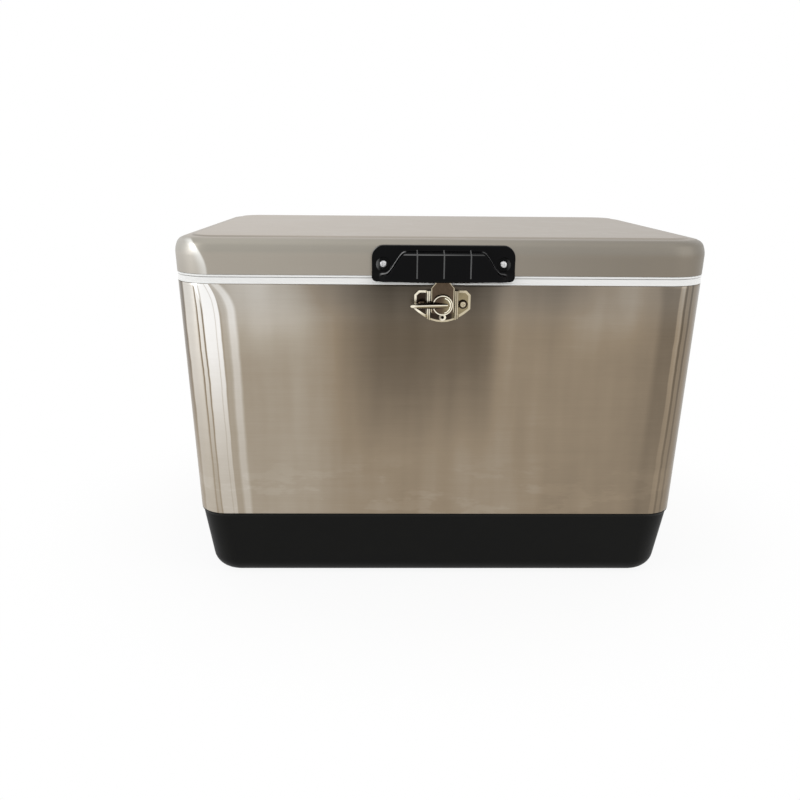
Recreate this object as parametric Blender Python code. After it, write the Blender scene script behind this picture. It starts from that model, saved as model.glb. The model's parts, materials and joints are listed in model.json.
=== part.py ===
# Steel-belted ice chest: pressed steel lid, steel belt round a foamed tub, moulded base,
# turn latch, side handles and drain. Lengths are in metres. The front faces -Y, X runs to
# the right, Z is up, and the origin is under the middle of the whole chest, on the ground.

from math import atan, cos, pi, radians, sin, sqrt, tau

import bmesh
import bpy
from mathutils import Matrix, Vector

# Gaps and cuts
FIT = 0.0003  # gap between pieces that touch
OVERRUN = 0.002  # how far a cut runs past the face that it opens
CORNER_STEPS = 6
FILLET_STEPS = 4
DISC_STEPS = 24
TURN_STEPS = 16
BORE_STEPS = 12
SMALL_STEPS = 8
SMOOTH_ANGLE = radians(35)

# Outline of the chest, measured at the lower edge of the lid's skirt
LID_WIDTH = 0.600
LID_DEPTH = 0.433
WALL_SLOPE = 0.0449  # lean of the walls, per unit of height
LID_CORNER = 0.049
BELT_FOOT_CORNER = 0.0357

# Heights, from the ground up
BASE_HEIGHT = 0.085
BELT_HEIGHT = 0.276
RIM_HEIGHT = 0.0070
PARTING_GAP = 0.0006
LINER_EDGE_HEIGHT = 0.0025
SKIRT_HEIGHT = 0.026
SHOULDER_RISE = 0.013
SHOULDER_INSET = 0.011
PANEL_RISE = 0.0017

BELT_TOP = BASE_HEIGHT + BELT_HEIGHT
RIM_BOTTOM = BELT_TOP + FIT
RIM_TOP = RIM_BOTTOM + RIM_HEIGHT
LINER_BOTTOM = RIM_TOP + PARTING_GAP
SKIRT_BOTTOM = LINER_BOTTOM + LINER_EDGE_HEIGHT
SKIRT_TOP = SKIRT_BOTTOM + SKIRT_HEIGHT
CREASE_HEIGHT = SKIRT_TOP + SHOULDER_RISE
LID_TOP = CREASE_HEIGHT + PANEL_RISE

# Lid shell
SHELL_SHEET = 0.0008
SHOULDER_ROUND_SHARE = 0.3
PANEL_BORDER = 0.007
PANEL_STEP = 0.005

# Lid liner
LINER_WALL = 0.0025
LINER_TUCK = 0.0065
PLUG_GAP = 0.0022
PLUG_DEPTH = 0.016
PLUG_DRAFT = 0.003
PLUG_BORDER = 0.020
PLUG_RECESS = 0.006
PLUG_RECESS_SLOPE = 0.004

# Tub
INSULATED_WALL = 0.036  # from the outer wall to the inside of the tub
TUB_WALL = 0.003
TUB_CORNER = 0.028
TUB_FLOOR = 0.045
TUB_FLOOR_ROUND = 0.012
RIM_ROUND = 0.006
RIM_STEP = 0.0005
RIM_BEAD = 0.0022

# Belt
BELT_SHEET = 0.0008
SEAM_WIDTH = 0.014
SEAM_RISE = 0.0006
SEAM_END = 0.006

# Base
BASE_INSET = 0.0014
BASE_TUCK = 0.010
BASE_SLOPE = 0.135
BASE_WALL = 0.003
BASE_ROUND = 0.022
BASE_LIP_DROP = 0.0045
BASE_LIP_EDGE = 0.0010
FOOT_WIDTH = 0.026
FOOT_RISE = 0.004
FOOT_SLOPE = 0.002
FOOT_RIB_WIDTH = 0.008
FOOT_RIB_LIFT = 0.0005
FOOT_RIB_SHARES = (-0.25, 0.0, 0.25)

# Screws and rivets
SCREW_HEAD = 0.0041
SCREW_HEAD_HEIGHT = 0.0022
SCREW_SHANK = 0.0019
SCREW_LENGTH = 0.014
SCREW_TIP = 0.003
SCREW_CROWN_SHARE = 0.7
RIVET_HEAD = 0.0032
RIVET_HEAD_HEIGHT = 0.0014
RIVET_SHANK = 0.0017
RIVET_LENGTH = 0.006

# Lid handle
HANDLE_WIDTH = 0.1555
HANDLE_HEIGHT = 0.039
HANDLE_DROP = 0.0053  # below the lid's skirt
HANDLE_CORNER = 0.0125
HANDLE_FOOT_CORNER = 0.005
HANDLE_PLATE = 0.0065
HANDLE_EDGE = 0.0018
HANDLE_RELIEF = 0.0012
HANDLE_WALL = 0.003
LIP_HEIGHT = 0.0063
LIP_END_HEIGHT = 0.0045
LIP_REACH = 0.0195
LIP_END_REACH = 0.0095
LIP_ROUND = 0.0045
GRIP_REACH = 0.0172
HANDLE_WING = 0.03605  # from the handle's end to the grip's top
GRIP_TOP_WIDTH = HANDLE_WIDTH - 2 * HANDLE_WING
GRIP_SIDE = 0.022
GRIP_TOP_RISE = 0.0105  # above the handle's middle
GRIP_ROUND = 0.0016
GRIP_STEP = 0.0035
GRIP_FLARE = 0.006
HANDLE_RIB_WIDTH = 0.0016
HANDLE_RIB_RISE = 0.0006
HANDLE_RIB_INSET = 0.0128  # from the end of the grip's top
HANDLE_RIB_SPACING = GRIP_TOP_WIDTH / 2 - HANDLE_RIB_INSET
HANDLE_SCREW_INSET = 0.01255
HANDLE_SCREW_SPACING = HANDLE_WIDTH - 2 * HANDLE_SCREW_INSET
HANDLE_SCREW_DROP = 0.001
COUNTERBORE = 0.0078
COUNTERBORE_FLOOR = 0.0042
HOLLOW_INSET = 0.02475
HOLLOW_WIDTH = HANDLE_WIDTH - 2 * HOLLOW_INSET
GRIP_SHARES = (0.0, 0.5)
GRIP_SIDE_SHARES = (0.0, 0.15, 0.3, 0.5, 0.7, 0.85, 1.0)
GRIP_FLARE_SHARES = (0.5, 1.0)
HANDLE_CORNER_SHARES = (0.35, 0.6, 0.8, 1.0)
HOLLOW_SHARES = (-1.0, -0.86, -0.72, 0.72, 0.86, 1.0)

# Turn latch: keeper plate
LATCH_DROP = 0.0208  # turning axis below the belt's top edge
PLATE_WIDTH = 0.062
PLATE_RISE = 0.0154
PLATE_FALL = 0.0197
PLATE_SIDE_FALL = 0.0052
PLATE_CHAMFER = 0.0048
PLATE_SHEET = 0.0012
CHANNEL_WIDTH = 0.026
CHANNEL_FLOOR = 0.0033
CHANNEL_RIB_WIDTH = 0.0048
CHANNEL_RIB_REACH = 0.006
CHANNEL_LEAN = 0.0006
PLATE_SCREW_OFFSET = 0.0227
DIMPLE = 0.0052
DIMPLE_DEPTH = 0.0007

# Turn latch: tongue on the lid
TONGUE_SHEET = 0.0015
TONGUE_LIFT = 0.0009
TONGUE_NECK_WIDTH = 0.0148
TONGUE_SIDE_GAP = 0.0005
TONGUE_SHOULDER = 0.0172
TONGUE_FLARE = 0.0045
TONGUE_FALL = 0.0095
TONGUE_ROUND = 0.003
TONGUE_RISE_ON_SKIRT = 0.016
TONGUE_BEND_LENGTH = 0.004
TONGUE_RIVET_RISE = 0.0095
TONGUE_RIVET_SPACING = 0.008

# Turn latch: turret
DISC = 0.01125
DISC_SHEET = 0.0026
DISC_ROUND = 0.0006
DISC_GAP = 0.0008
NECK_LONG = 0.0130
NECK_SHORT = 0.0064
NECK_GAP = 0.0005
STUD = 0.0031
STUD_END = 0.0022
STUD_TIP_GAP = 0.0005
CLIP = 0.006
CLIP_SHEET = 0.0011
RIDGE_ARC = 0.0078
RIDGE_WIDTH = 0.0018
RIDGE_RISE = 0.0012
RIDGE_SPREAD = radians(76)
LEVER_ROOT = 0.0045
LEVER_LENGTH = 0.0358
LEVER_BACK_HALF = 0.0042
LEVER_FRONT_HALF = 0.0015
LEVER_TIP_HALF = 0.0020
LEVER_ROOT_REACH = 0.0100
LEVER_TIP_REACH = 0.0165
LEVER_TIP_BACK = 0.0118
LEVER_RIB_GAP = 0.0012
LEVER_STEPS = 10
LEVER_SWELL_SHARE = 0.33  # of its length, from the root to its broadest place
LEVER_FADE_SHARE = 0.5
LEVER_TIP_SHARE = 0.1
LEVER_TIP_END_SHARE = 0.5
EYE_DROP = 0.0132
EYE_OUTER = 0.0040
EYE_HOLE = 0.0018
EYE_SHEET = 0.0024
EYE_RIB_GAP = 0.0008
TAIL_WIDTH = 0.0034

# Hinges
HINGE_OFFSET_SHARE = 0.33
HINGE_WIDTH = 0.050
HINGE_SHEET = 0.0015
HINGE_BARREL = 0.0036
HINGE_PIN = 0.0019
HINGE_CLEARANCE = 0.0008
HINGE_MIDDLE_KNUCKLE = 0.0172
HINGE_KNUCKLE_GAP = 0.0004
LID_LEAF_HEIGHT = 0.024
BODY_LEAF_HEIGHT = 0.030
LEAF_CORNER = 0.004
LEAF_CORNER_STEPS = 3
LEAF_SCREW_SPACING = 0.030
LID_LEAF_SCREW_RISE = 0.0145
BODY_LEAF_SCREW_DROP = 0.020
PIN_HEAD = 0.0028
PIN_HEAD_HEIGHT = 0.001

# Side handles
SIDE_PIVOT_HEIGHT = 0.275
SIDE_PIVOT_OUT = 0.0125
BRACKET_SPACING = 0.150
BRACKET_WIDTH = 0.024
BRACKET_HEIGHT = 0.050
BRACKET_SHEET = 0.003
BRACKET_CORNER = 0.006
EAR_WIDTH = 0.012
EAR_ROUND = 0.007
EAR_FOOT = 0.022
BRACKET_SCREW_SPACING = 0.036
BAIL_ROD = 0.003
BAIL_DROP = 0.058
BAIL_BEND = 0.008
BAIL_SIDE_GAP = 0.001
BAIL_END = 0.0025
BEND_STEPS = 6
GRIP_LENGTH = 0.088
GRIP_MIDDLE = 0.0105
GRIP_END = 0.0085
GRIP_STEPS = 8

# Drain, on the right end
DRAIN_RISE = 0.0158  # its axis above the tub's floor
SPOUT = 0.0088
SPOUT_BORE = 0.0068
SNOUT = 0.0105
SNOUT_LENGTH = 0.009
SPOUT_FLANGE = 0.0155
SPOUT_FLANGE_SHEET = 0.0025
SPOUT_INSIDE_END = 0.008
BASE_PAD = 0.018
BASE_PAD_RISE = 0.0015
TUB_PAD = 0.0150
TUB_PAD_RISE = 0.0035
GASKET = 0.0148
GASKET_SHEET = 0.002
NUT = 0.0120
NUT_HEIGHT = 0.0065
CAP = 0.0150
CAP_FLUTE = 0.0007
CAP_FLUTES = 12
CAP_TOP = 0.0028
CAP_WASHER_SHEET = 0.0015
CAP_FOOT_GAP = 0.0005

WALL_LEAN = atan(WALL_SLOPE)
QUARTERS = {"front": 0.0, "right": pi / 2, "back": pi, "left": -pi / 2}


# Bodies: an empty carries each one, and a moving one's empty is on its joint
def body_frame(name, matrix, parent=None):
    frame = bpy.data.objects.new(name, None)
    bpy.context.scene.collection.objects.link(frame)
    hang(frame, matrix, parent)
    return frame


def hang(thing, matrix, parent):
    thing.parent = parent
    if parent:
        thing.matrix_parent_inverse = parent.matrix_world.inverted()
    thing.matrix_world = matrix
    bpy.context.view_layer.update()


def clear_scene():
    for thing in list(bpy.data.objects):
        bpy.data.objects.remove(thing)
    for mesh in list(bpy.data.meshes):
        bpy.data.meshes.remove(mesh)


def material(name, colour, roughness, metallic=0.0):
    made = bpy.data.materials.get(name) or bpy.data.materials.new(name)
    made.use_nodes = True
    shader = made.node_tree.nodes["Principled BSDF"]
    shader.inputs["Base Color"].default_value = (*colour, 1.0)
    shader.inputs["Roughness"].default_value = roughness
    shader.inputs["Metallic"].default_value = metallic
    return made


def satin_steel():
    return material("satin_steel", (0.50, 0.46, 0.42), 0.42, 1.0)


def belt_steel():
    return material("belt_steel", (0.42, 0.37, 0.32), 0.30, 1.0)


def bright_nickel():
    return material("bright_nickel", (0.62, 0.58, 0.50), 0.22, 1.0)


def zinc_steel():
    return material("zinc_steel", (0.60, 0.60, 0.60), 0.35, 1.0)


def white_plastic():
    return material("white_plastic", (0.82, 0.82, 0.80), 0.40)


def black_base():
    return material("black_base", (0.012, 0.012, 0.011), 0.50)


def black_moulding():
    return material("black_moulding", (0.008, 0.008, 0.008), 0.35)


def rubber():
    return material("black_rubber", (0.02, 0.02, 0.02), 0.75)


def foam():
    return material("insulation_foam", (0.75, 0.62, 0.30), 0.90)


# Meshes
def keep(name, bm, matrix, parent, finish):
    bmesh.ops.triangulate(bm, faces=bm.faces)
    bmesh.ops.recalc_face_normals(bm, faces=bm.faces)
    mesh = bpy.data.meshes.new(name)
    bm.to_mesh(mesh)
    bm.free()
    mesh.shade_smooth()
    mesh.set_sharp_from_angle(angle=SMOOTH_ANGLE)
    thing = bpy.data.objects.new(name, mesh)
    bpy.context.scene.collection.objects.link(thing)
    if finish:
        mesh.materials.append(finish)
    hang(thing, matrix, parent)
    return thing


def add_loft(bm, rings, closed=False):
    loops = [[bm.verts.new(point) for point in one] for one in rings]
    pairs = list(zip(loops, loops[1:]))
    if closed:
        pairs.append((loops[-1], loops[0]))
    else:
        bm.faces.new(reversed(loops[0]))
        bm.faces.new(loops[-1])
    for low, high in pairs:
        for at, (a, b) in enumerate(zip(low, high)):
            bm.faces.new((a, low[(at + 1) % len(low)], high[(at + 1) % len(low)], b))


def add_turned(bm, profile, steps=TURN_STEPS, closed=False, centre=(0.0, 0.0)):
    # The profile holds (radius, out); out runs along -Y
    verts = [bm.verts.new((radius, -out, 0.0)) for radius, out in profile]
    edges = [bm.edges.new(pair) for pair in zip(verts, verts[1:])]
    if closed:
        edges.append(bm.edges.new((verts[-1], verts[0])))
    bmesh.ops.spin(
        bm, geom=verts + edges, cent=(0, 0, 0), axis=(0, -1, 0), angle=tau, steps=steps, use_merge=True
    )
    bmesh.ops.remove_doubles(bm, verts=bm.verts, dist=FIT * FIT)
    bmesh.ops.translate(bm, verts=bm.verts, vec=(centre[0], 0.0, centre[1]))


def add_plate(bm, outline, back, front):
    # The outline holds (along, up); the plate's thickness runs along -Y
    verts = [bm.verts.new((along, -back, up)) for along, up in outline]
    face = bm.faces.new(verts)
    grown = bmesh.ops.extrude_face_region(bm, geom=[face])["geom"]
    moved = [item for item in grown if isinstance(item, bmesh.types.BMVert)]
    bmesh.ops.translate(bm, verts=moved, vec=(0.0, back - front, 0.0))


def add_bar(bm, section, start, end):
    # The section holds (out, up); the bar runs along X
    verts = [bm.verts.new((start, -out, up)) for out, up in section]
    face = bm.faces.new(verts)
    grown = bmesh.ops.extrude_face_region(bm, geom=[face])["geom"]
    moved = [item for item in grown if isinstance(item, bmesh.types.BMVert)]
    bmesh.ops.translate(bm, verts=moved, vec=(end - start, 0.0, 0.0))


def lofted(name, rings, matrix, parent, finish, closed=False):
    bm = bmesh.new()
    add_loft(bm, rings, closed)
    return keep(name, bm, matrix, parent, finish)


def turned(name, profile, matrix, parent, finish, steps=TURN_STEPS, closed=False):
    bm = bmesh.new()
    add_turned(bm, profile, steps, closed)
    return keep(name, bm, matrix, parent, finish)


def plate(name, outline, back, front, matrix, parent, finish):
    bm = bmesh.new()
    add_plate(bm, outline, back, front)
    return keep(name, bm, matrix, parent, finish)


def bar(name, section, start, end, matrix, parent, finish):
    bm = bmesh.new()
    add_bar(bm, section, start, end)
    return keep(name, bm, matrix, parent, finish)


def even_shading():
    # Flat faces keep an even shade next to rounded corners and cut holes
    for thing in bpy.data.objects:
        if thing.type == "MESH" and not thing.hide_render:
            modifier = thing.modifiers.new("even_shading", "WEIGHTED_NORMAL")
            modifier.keep_sharp = True


def combine(thing, other, operation):
    other.hide_render = True
    other.display_type = "WIRE"
    modifier = thing.modifiers.new(other.name, "BOOLEAN")
    modifier.operation = operation
    modifier.object = other


def rods(name, places, radius, inner, outer, steps=SMALL_STEPS):
    # Round cutters on the given frames, from inner to outer along each -Y
    bm = bmesh.new()
    for matrix in places:
        one = bmesh.new()
        add_turned(one, [(0.0, inner), (radius, inner), (radius, outer), (0.0, outer)], steps)
        bmesh.ops.recalc_face_normals(one, faces=one.faces)
        bmesh.ops.transform(one, matrix=matrix, verts=one.verts)
        spare = bpy.data.meshes.new(name)
        one.to_mesh(spare)
        one.free()
        bm.from_mesh(spare)
        bpy.data.meshes.remove(spare)
    return keep(name, bm, Matrix(), None, None)


def bore_for(radius, steps=SMALL_STEPS):
    # The radius of a bore whose flats clear a round of this radius
    return (radius + FIT) / cos(pi / steps)


# The chest's outline at each height
def half_size(size, height):
    return size / 2 + (height - SKIRT_BOTTOM) * WALL_SLOPE


def corner_at(height):
    share = (height - BASE_HEIGHT) / (SKIRT_BOTTOM - BASE_HEIGHT)
    return BELT_FOOT_CORNER + (LID_CORNER - BELT_FOOT_CORNER) * share


def round_outline(half_x, half_y, radius, height):
    points = []
    for quarter, (side_x, side_y) in enumerate(((1, 1), (-1, 1), (-1, -1), (1, -1))):
        for step in range(CORNER_STEPS + 1):
            angle = (quarter + step / CORNER_STEPS) * pi / 2
            across = side_x * (half_x - radius) + radius * cos(angle)
            along = side_y * (half_y - radius) + radius * sin(angle)
            points.append(Vector((across, along, height)))
    return points


def wall_ring(inset, height, corner=None):
    radius = corner_at(height) - inset if corner is None else corner
    return round_outline(
        half_size(LID_WIDTH, height) - inset, half_size(LID_DEPTH, height) - inset, radius, height
    )


def base_ring(inset, height):
    total = BASE_INSET + inset + (BASE_HEIGHT - height) * BASE_SLOPE
    return round_outline(
        half_size(LID_WIDTH, BASE_HEIGHT) - total,
        half_size(LID_DEPTH, BASE_HEIGHT) - total,
        BELT_FOOT_CORNER - BASE_INSET - inset,
        height,
    )


def base_fillet(radius, floor, inset):
    # Rings of the round between the base's side and a floor, from the side down
    lean = atan(BASE_SLOPE)
    centre_height = floor + radius
    start_height = centre_height - radius * sin(lean)
    rings = []
    for step in range(FILLET_STEPS + 1):
        angle = lean + (pi / 2 - lean) * step / FILLET_STEPS
        height = centre_height - radius * sin(angle)
        drift = (start_height - height) * BASE_SLOPE
        rings.append(base_ring(inset + radius * (cos(lean) - cos(angle)) - drift, height))
    return rings


def site(side, height, along=0.0):
    # A frame on the outer wall: X along it, -Y out of it, Z up its slope
    size = LID_DEPTH if side in ("front", "back") else LID_WIDTH
    seat = Matrix.Translation((along, -half_size(size, height), height))
    turn = Matrix.Rotation(QUARTERS[side], 4, "Z")
    return body_shift() @ turn @ seat @ Matrix.Rotation(WALL_LEAN, 4, "X")


def at(matrix, along, up, out=0.0):
    return matrix @ Matrix.Translation((along, -out, up))


HANDLE_MIDDLE = SKIRT_BOTTOM - HANDLE_DROP + HANDLE_HEIGHT / 2
HINGE_AXIS_OUT = FIT + HINGE_BARREL
HINGE_HEIGHT = RIM_TOP + PARTING_GAP / 2
LATCH_HEIGHT = BELT_TOP - LATCH_DROP
DRAIN_HEIGHT = TUB_FLOOR + DRAIN_RISE


def body_shift():
    # Puts the origin midway between the lid handle's ribs and the hinge barrels
    rise = LIP_ROUND - HANDLE_HEIGHT / 2 + HANDLE_RIB_RISE
    reach = LIP_REACH + HANDLE_RIB_RISE
    front = half_size(LID_DEPTH, HANDLE_MIDDLE) + rise * sin(WALL_LEAN) + reach * cos(WALL_LEAN)
    back = half_size(LID_DEPTH, HINGE_HEIGHT) + HINGE_AXIS_OUT * cos(WALL_LEAN) + HINGE_BARREL
    return Matrix.Translation((0.0, (front - back) / 2, 0.0))


# Lid: shell, liner and foam
def shell_profile(sheet):
    # (inset, height) from the top panel's edge down to the skirt, moved in by the sheet
    crease = SHOULDER_INSET + sheet
    soft = SHOULDER_ROUND_SHARE
    return [
        (crease + PANEL_BORDER + PANEL_STEP, LID_TOP - sheet),
        (crease + PANEL_BORDER, CREASE_HEIGHT - sheet),
        (crease + SHOULDER_INSET * soft, CREASE_HEIGHT - sheet),
        (crease - SHOULDER_INSET * soft / 3, CREASE_HEIGHT - sheet - SHOULDER_RISE * soft / 3),
        (crease - SHOULDER_INSET * soft, CREASE_HEIGHT - sheet - SHOULDER_RISE * soft),
        (sheet + SHOULDER_INSET * soft, SKIRT_TOP + SHOULDER_RISE * soft),
        (sheet + SHOULDER_INSET * soft / 4, SKIRT_TOP),
        (sheet, SKIRT_TOP - SHOULDER_RISE * soft),
    ]


def make_lid_shell(lid):
    outer = [wall_ring(inset, height) for inset, height in shell_profile(0.0)]
    inner = [wall_ring(inset, height) for inset, height in shell_profile(SHELL_SHEET)]
    rings = outer + [wall_ring(0.0, SKIRT_BOTTOM), wall_ring(SHELL_SHEET, SKIRT_BOTTOM)]
    return lofted("lid_shell", rings + inner[::-1], body_shift(), lid, satin_steel())


def make_lid_liner(lid):
    tuck = SHELL_SHEET + FIT
    tuck_top = SKIRT_BOTTOM + LINER_TUCK
    ledge = SKIRT_BOTTOM - FIT
    land = LINER_BOTTOM + LINER_WALL
    plug_floor = LINER_BOTTOM - PLUG_DEPTH
    recess_edge = INSULATED_WALL + PLUG_GAP + PLUG_DRAFT + PLUG_BORDER
    plug = INSULATED_WALL + PLUG_GAP
    plug_corner = TUB_CORNER - PLUG_GAP
    inner_floor = plug_floor + LINER_WALL
    rings = [
        wall_ring(recess_edge + PLUG_RECESS_SLOPE, plug_floor + PLUG_RECESS, plug_corner),
        wall_ring(recess_edge, plug_floor, plug_corner),
        wall_ring(plug + PLUG_DRAFT, plug_floor, plug_corner),
        wall_ring(plug, LINER_BOTTOM, plug_corner),
        wall_ring(0.0, LINER_BOTTOM),
        wall_ring(0.0, ledge),
        wall_ring(tuck, ledge),
        wall_ring(tuck, tuck_top),
        wall_ring(tuck + LINER_WALL, tuck_top),
        wall_ring(tuck + LINER_WALL, land),
        wall_ring(plug + LINER_WALL, land, plug_corner),
        wall_ring(plug + PLUG_DRAFT + LINER_WALL, inner_floor, plug_corner),
        wall_ring(recess_edge - LINER_WALL, inner_floor, plug_corner),
        wall_ring(recess_edge - LINER_WALL + PLUG_RECESS_SLOPE, inner_floor + PLUG_RECESS, plug_corner),
    ]
    return lofted("lid_liner", rings, body_shift(), lid, white_plastic())


def make_lid_foam(lid):
    tuck = SHELL_SHEET + FIT
    tuck_top = SKIRT_BOTTOM + LINER_TUCK + FIT
    land = LINER_BOTTOM + LINER_WALL + FIT
    inner_floor = LINER_BOTTOM - PLUG_DEPTH + LINER_WALL + FIT
    recess_edge = INSULATED_WALL + PLUG_GAP + PLUG_DRAFT + PLUG_BORDER - LINER_WALL - FIT
    plug = INSULATED_WALL + PLUG_GAP + LINER_WALL + FIT
    plug_corner = TUB_CORNER - PLUG_GAP
    rings = [wall_ring(inset, height) for inset, height in shell_profile(tuck)]
    rings += [
        wall_ring(tuck, tuck_top),
        wall_ring(tuck + LINER_WALL + FIT, tuck_top),
        wall_ring(tuck + LINER_WALL + FIT, land),
        wall_ring(plug, land, plug_corner),
        wall_ring(plug + PLUG_DRAFT, inner_floor, plug_corner),
        wall_ring(recess_edge, inner_floor, plug_corner),
        wall_ring(recess_edge + PLUG_RECESS_SLOPE, inner_floor + PLUG_RECESS, plug_corner),
    ]
    return lofted("lid_foam", rings, body_shift(), lid, foam())


# Body: tub, foam, belt and base
def tub_wall_rings(side, foot, floor, floor_round):
    # One face of the tub from the rim's underside down to its floor, moved out by side
    inset = INSULATED_WALL - side
    corner = TUB_CORNER + side
    rings = [wall_ring(inset, foot, corner)]
    for step in range(FILLET_STEPS + 1):
        angle = pi / 2 * step / FILLET_STEPS
        height = floor + floor_round * (1 - sin(angle))
        further = floor_round * (1 - cos(angle))
        rings.append(wall_ring(inset + further, height, corner - further))
    return rings


def make_tub_liner(chest):
    land_inset = INSULATED_WALL - RIM_ROUND
    rim = []
    for step in range(FILLET_STEPS):
        angle = pi / 2 * step / FILLET_STEPS
        inset = land_inset + RIM_ROUND * sin(angle)
        height = RIM_TOP - RIM_ROUND * (1 - cos(angle))
        rim.append(wall_ring(inset, height, TUB_CORNER + RIM_ROUND * (1 - sin(angle))))
    inside = tub_wall_rings(0.0, RIM_TOP - RIM_ROUND, TUB_FLOOR, TUB_FLOOR_ROUND)
    outside = tub_wall_rings(
        TUB_WALL, RIM_TOP - TUB_WALL, TUB_FLOOR - TUB_WALL, TUB_FLOOR_ROUND + TUB_WALL
    )
    lip = [
        wall_ring(RIM_STEP + RIM_STEP, RIM_TOP),
        wall_ring(RIM_STEP, RIM_TOP - RIM_STEP),
        wall_ring(RIM_STEP, RIM_BOTTOM + RIM_BEAD),
        wall_ring(0.0, RIM_BOTTOM + RIM_BEAD - RIM_STEP),
        wall_ring(0.0, RIM_BOTTOM),
        wall_ring(TUB_WALL, RIM_BOTTOM),
        wall_ring(TUB_WALL, RIM_TOP - TUB_WALL),
    ]
    rings = inside[::-1] + rim[::-1] + lip + outside
    return lofted("tub_liner", rings, body_shift(), chest, white_plastic())


def make_body_foam(chest):
    skin = BELT_SHEET + FIT
    base_skin = BASE_WALL + FIT
    base_floor = FOOT_RISE + BASE_WALL + FIT
    tuck_top = BASE_HEIGHT + BASE_TUCK + FIT
    rings = base_fillet(BASE_ROUND - base_skin, base_floor, base_skin)[::-1]
    rings += [
        base_ring(base_skin, BASE_HEIGHT),
        wall_ring(BASE_INSET + base_skin, tuck_top),
        wall_ring(skin, tuck_top),
        wall_ring(skin, BELT_TOP - FIT),
        wall_ring(TUB_WALL + FIT, BELT_TOP - FIT),
        wall_ring(TUB_WALL + FIT, RIM_TOP - TUB_WALL - FIT),
    ]
    side = TUB_WALL + FIT
    rings += tub_wall_rings(side, RIM_TOP - side, TUB_FLOOR - side, TUB_FLOOR_ROUND + side)
    return lofted("body_foam", rings, body_shift(), chest, foam())


def make_steel_belt(chest):
    rings = [
        wall_ring(0.0, BASE_HEIGHT),
        wall_ring(0.0, BELT_TOP),
        wall_ring(BELT_SHEET, BELT_TOP),
        wall_ring(BELT_SHEET, BASE_HEIGHT),
    ]
    belt = lofted("steel_belt", rings, body_shift(), chest, belt_steel(), closed=True)
    back = site("back", BASE_HEIGHT)
    length = BELT_HEIGHT / cos(WALL_LEAN)
    half = SEAM_WIDTH / 2
    outline = [(-half, SEAM_END), (half, SEAM_END), (half, length - SEAM_END), (-half, length - SEAM_END)]
    seam = plate("belt_seam", outline, -BELT_SHEET / 2, SEAM_RISE, back, chest, None)
    combine(belt, seam, "UNION")
    return belt


def make_base_tray(chest):
    outer_fillet = base_fillet(BASE_ROUND, 0.0, 0.0)
    inner_floor = FOOT_RISE + BASE_WALL
    inner_fillet = base_fillet(BASE_ROUND - BASE_WALL, inner_floor, BASE_WALL)
    ground = outer_fillet[-1]
    foot = scaled_ring(ground, FOOT_WIDTH, 0.0)
    recess = scaled_ring(ground, FOOT_WIDTH + FOOT_SLOPE, FOOT_RISE)
    top = BASE_HEIGHT + BASE_TUCK
    lip_top = BASE_HEIGHT - FIT
    rings = [recess, foot] + outer_fillet[::-1]
    rings += [
        base_ring(0.0, BASE_HEIGHT - BASE_LIP_DROP),
        base_ring(-BASE_INSET, lip_top - BASE_LIP_EDGE),
        base_ring(-BASE_INSET, lip_top),
        base_ring(0.0, lip_top),
        wall_ring(BASE_INSET, top),
        wall_ring(BASE_INSET + BASE_WALL, top),
        base_ring(BASE_WALL, BASE_HEIGHT),
    ]
    rings += inner_fillet
    tray = lofted("base_tray", rings, body_shift(), chest, black_base())
    half_y = max(point.y for point in foot)
    half_x = max(point.x for point in foot)
    bm = bmesh.new()
    for share in FOOT_RIB_SHARES:
        middle = share * LID_DEPTH
        low, high = middle - FOOT_RIB_WIDTH / 2, middle + FOOT_RIB_WIDTH / 2
        reach = half_x + FOOT_SLOPE
        section = [(-high, FOOT_RIB_LIFT), (-low, FOOT_RIB_LIFT)]
        section += [(-low, FOOT_RISE + BASE_WALL / 2), (-high, FOOT_RISE + BASE_WALL / 2)]
        if abs(middle) < half_y:
            add_bar(bm, section, -reach, reach)
    ribs = keep("base_ribs", bm, body_shift(), chest, None)
    combine(tray, ribs, "UNION")
    return tray


def scaled_ring(ring, inset, height):
    # The same outline moved in by an inset, its corners keeping their centres where they can
    half_x = max(point.x for point in ring) - inset
    half_y = max(point.y for point in ring) - inset
    radius = max(ring_corner(ring) - inset, FOOT_SLOPE)
    return round_outline(half_x, half_y, radius, height)


def ring_corner(ring):
    first, last = ring[0], ring[CORNER_STEPS]
    return first.x - last.x


# Fasteners
def screw_profile(head, head_height, shank, length, tip):
    return [
        (0.0, -length),
        (shank / 2, -length),
        (shank, tip - length),
        (shank, 0.0),
        (head, 0.0),
        (head, head_height / 3),
        (head * SCREW_CROWN_SHARE, head_height * SCREW_CROWN_SHARE),
        (0.0, head_height),
    ]


def make_screw(name, matrix, body):
    profile = screw_profile(SCREW_HEAD, SCREW_HEAD_HEIGHT, SCREW_SHANK, SCREW_LENGTH, SCREW_TIP)
    return turned(name, profile, matrix, body, zinc_steel(), SMALL_STEPS)


def make_rivet(name, matrix, body):
    profile = screw_profile(RIVET_HEAD, RIVET_HEAD_HEIGHT, RIVET_SHANK, RIVET_LENGTH, RIVET_SHANK)
    return turned(name, profile, matrix, body, zinc_steel(), SMALL_STEPS)


# Lid handle
def handle_top(along):
    past = max(abs(along) - (HANDLE_WIDTH / 2 - HANDLE_CORNER), 0.0)
    return HANDLE_HEIGHT / 2 - HANDLE_CORNER + sqrt(max(HANDLE_CORNER**2 - past**2, 0.0))


def handle_bottom(along):
    past = max(abs(along) - (HANDLE_WIDTH / 2 - HANDLE_FOOT_CORNER), 0.0)
    lift = HANDLE_FOOT_CORNER - sqrt(max(HANDLE_FOOT_CORNER**2 - past**2, 0.0))
    return lift - HANDLE_HEIGHT / 2


def lip_reach(along):
    share = abs(along) / (HANDLE_WIDTH / 2)
    return LIP_REACH - (LIP_REACH - LIP_END_REACH) * share**2


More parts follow.
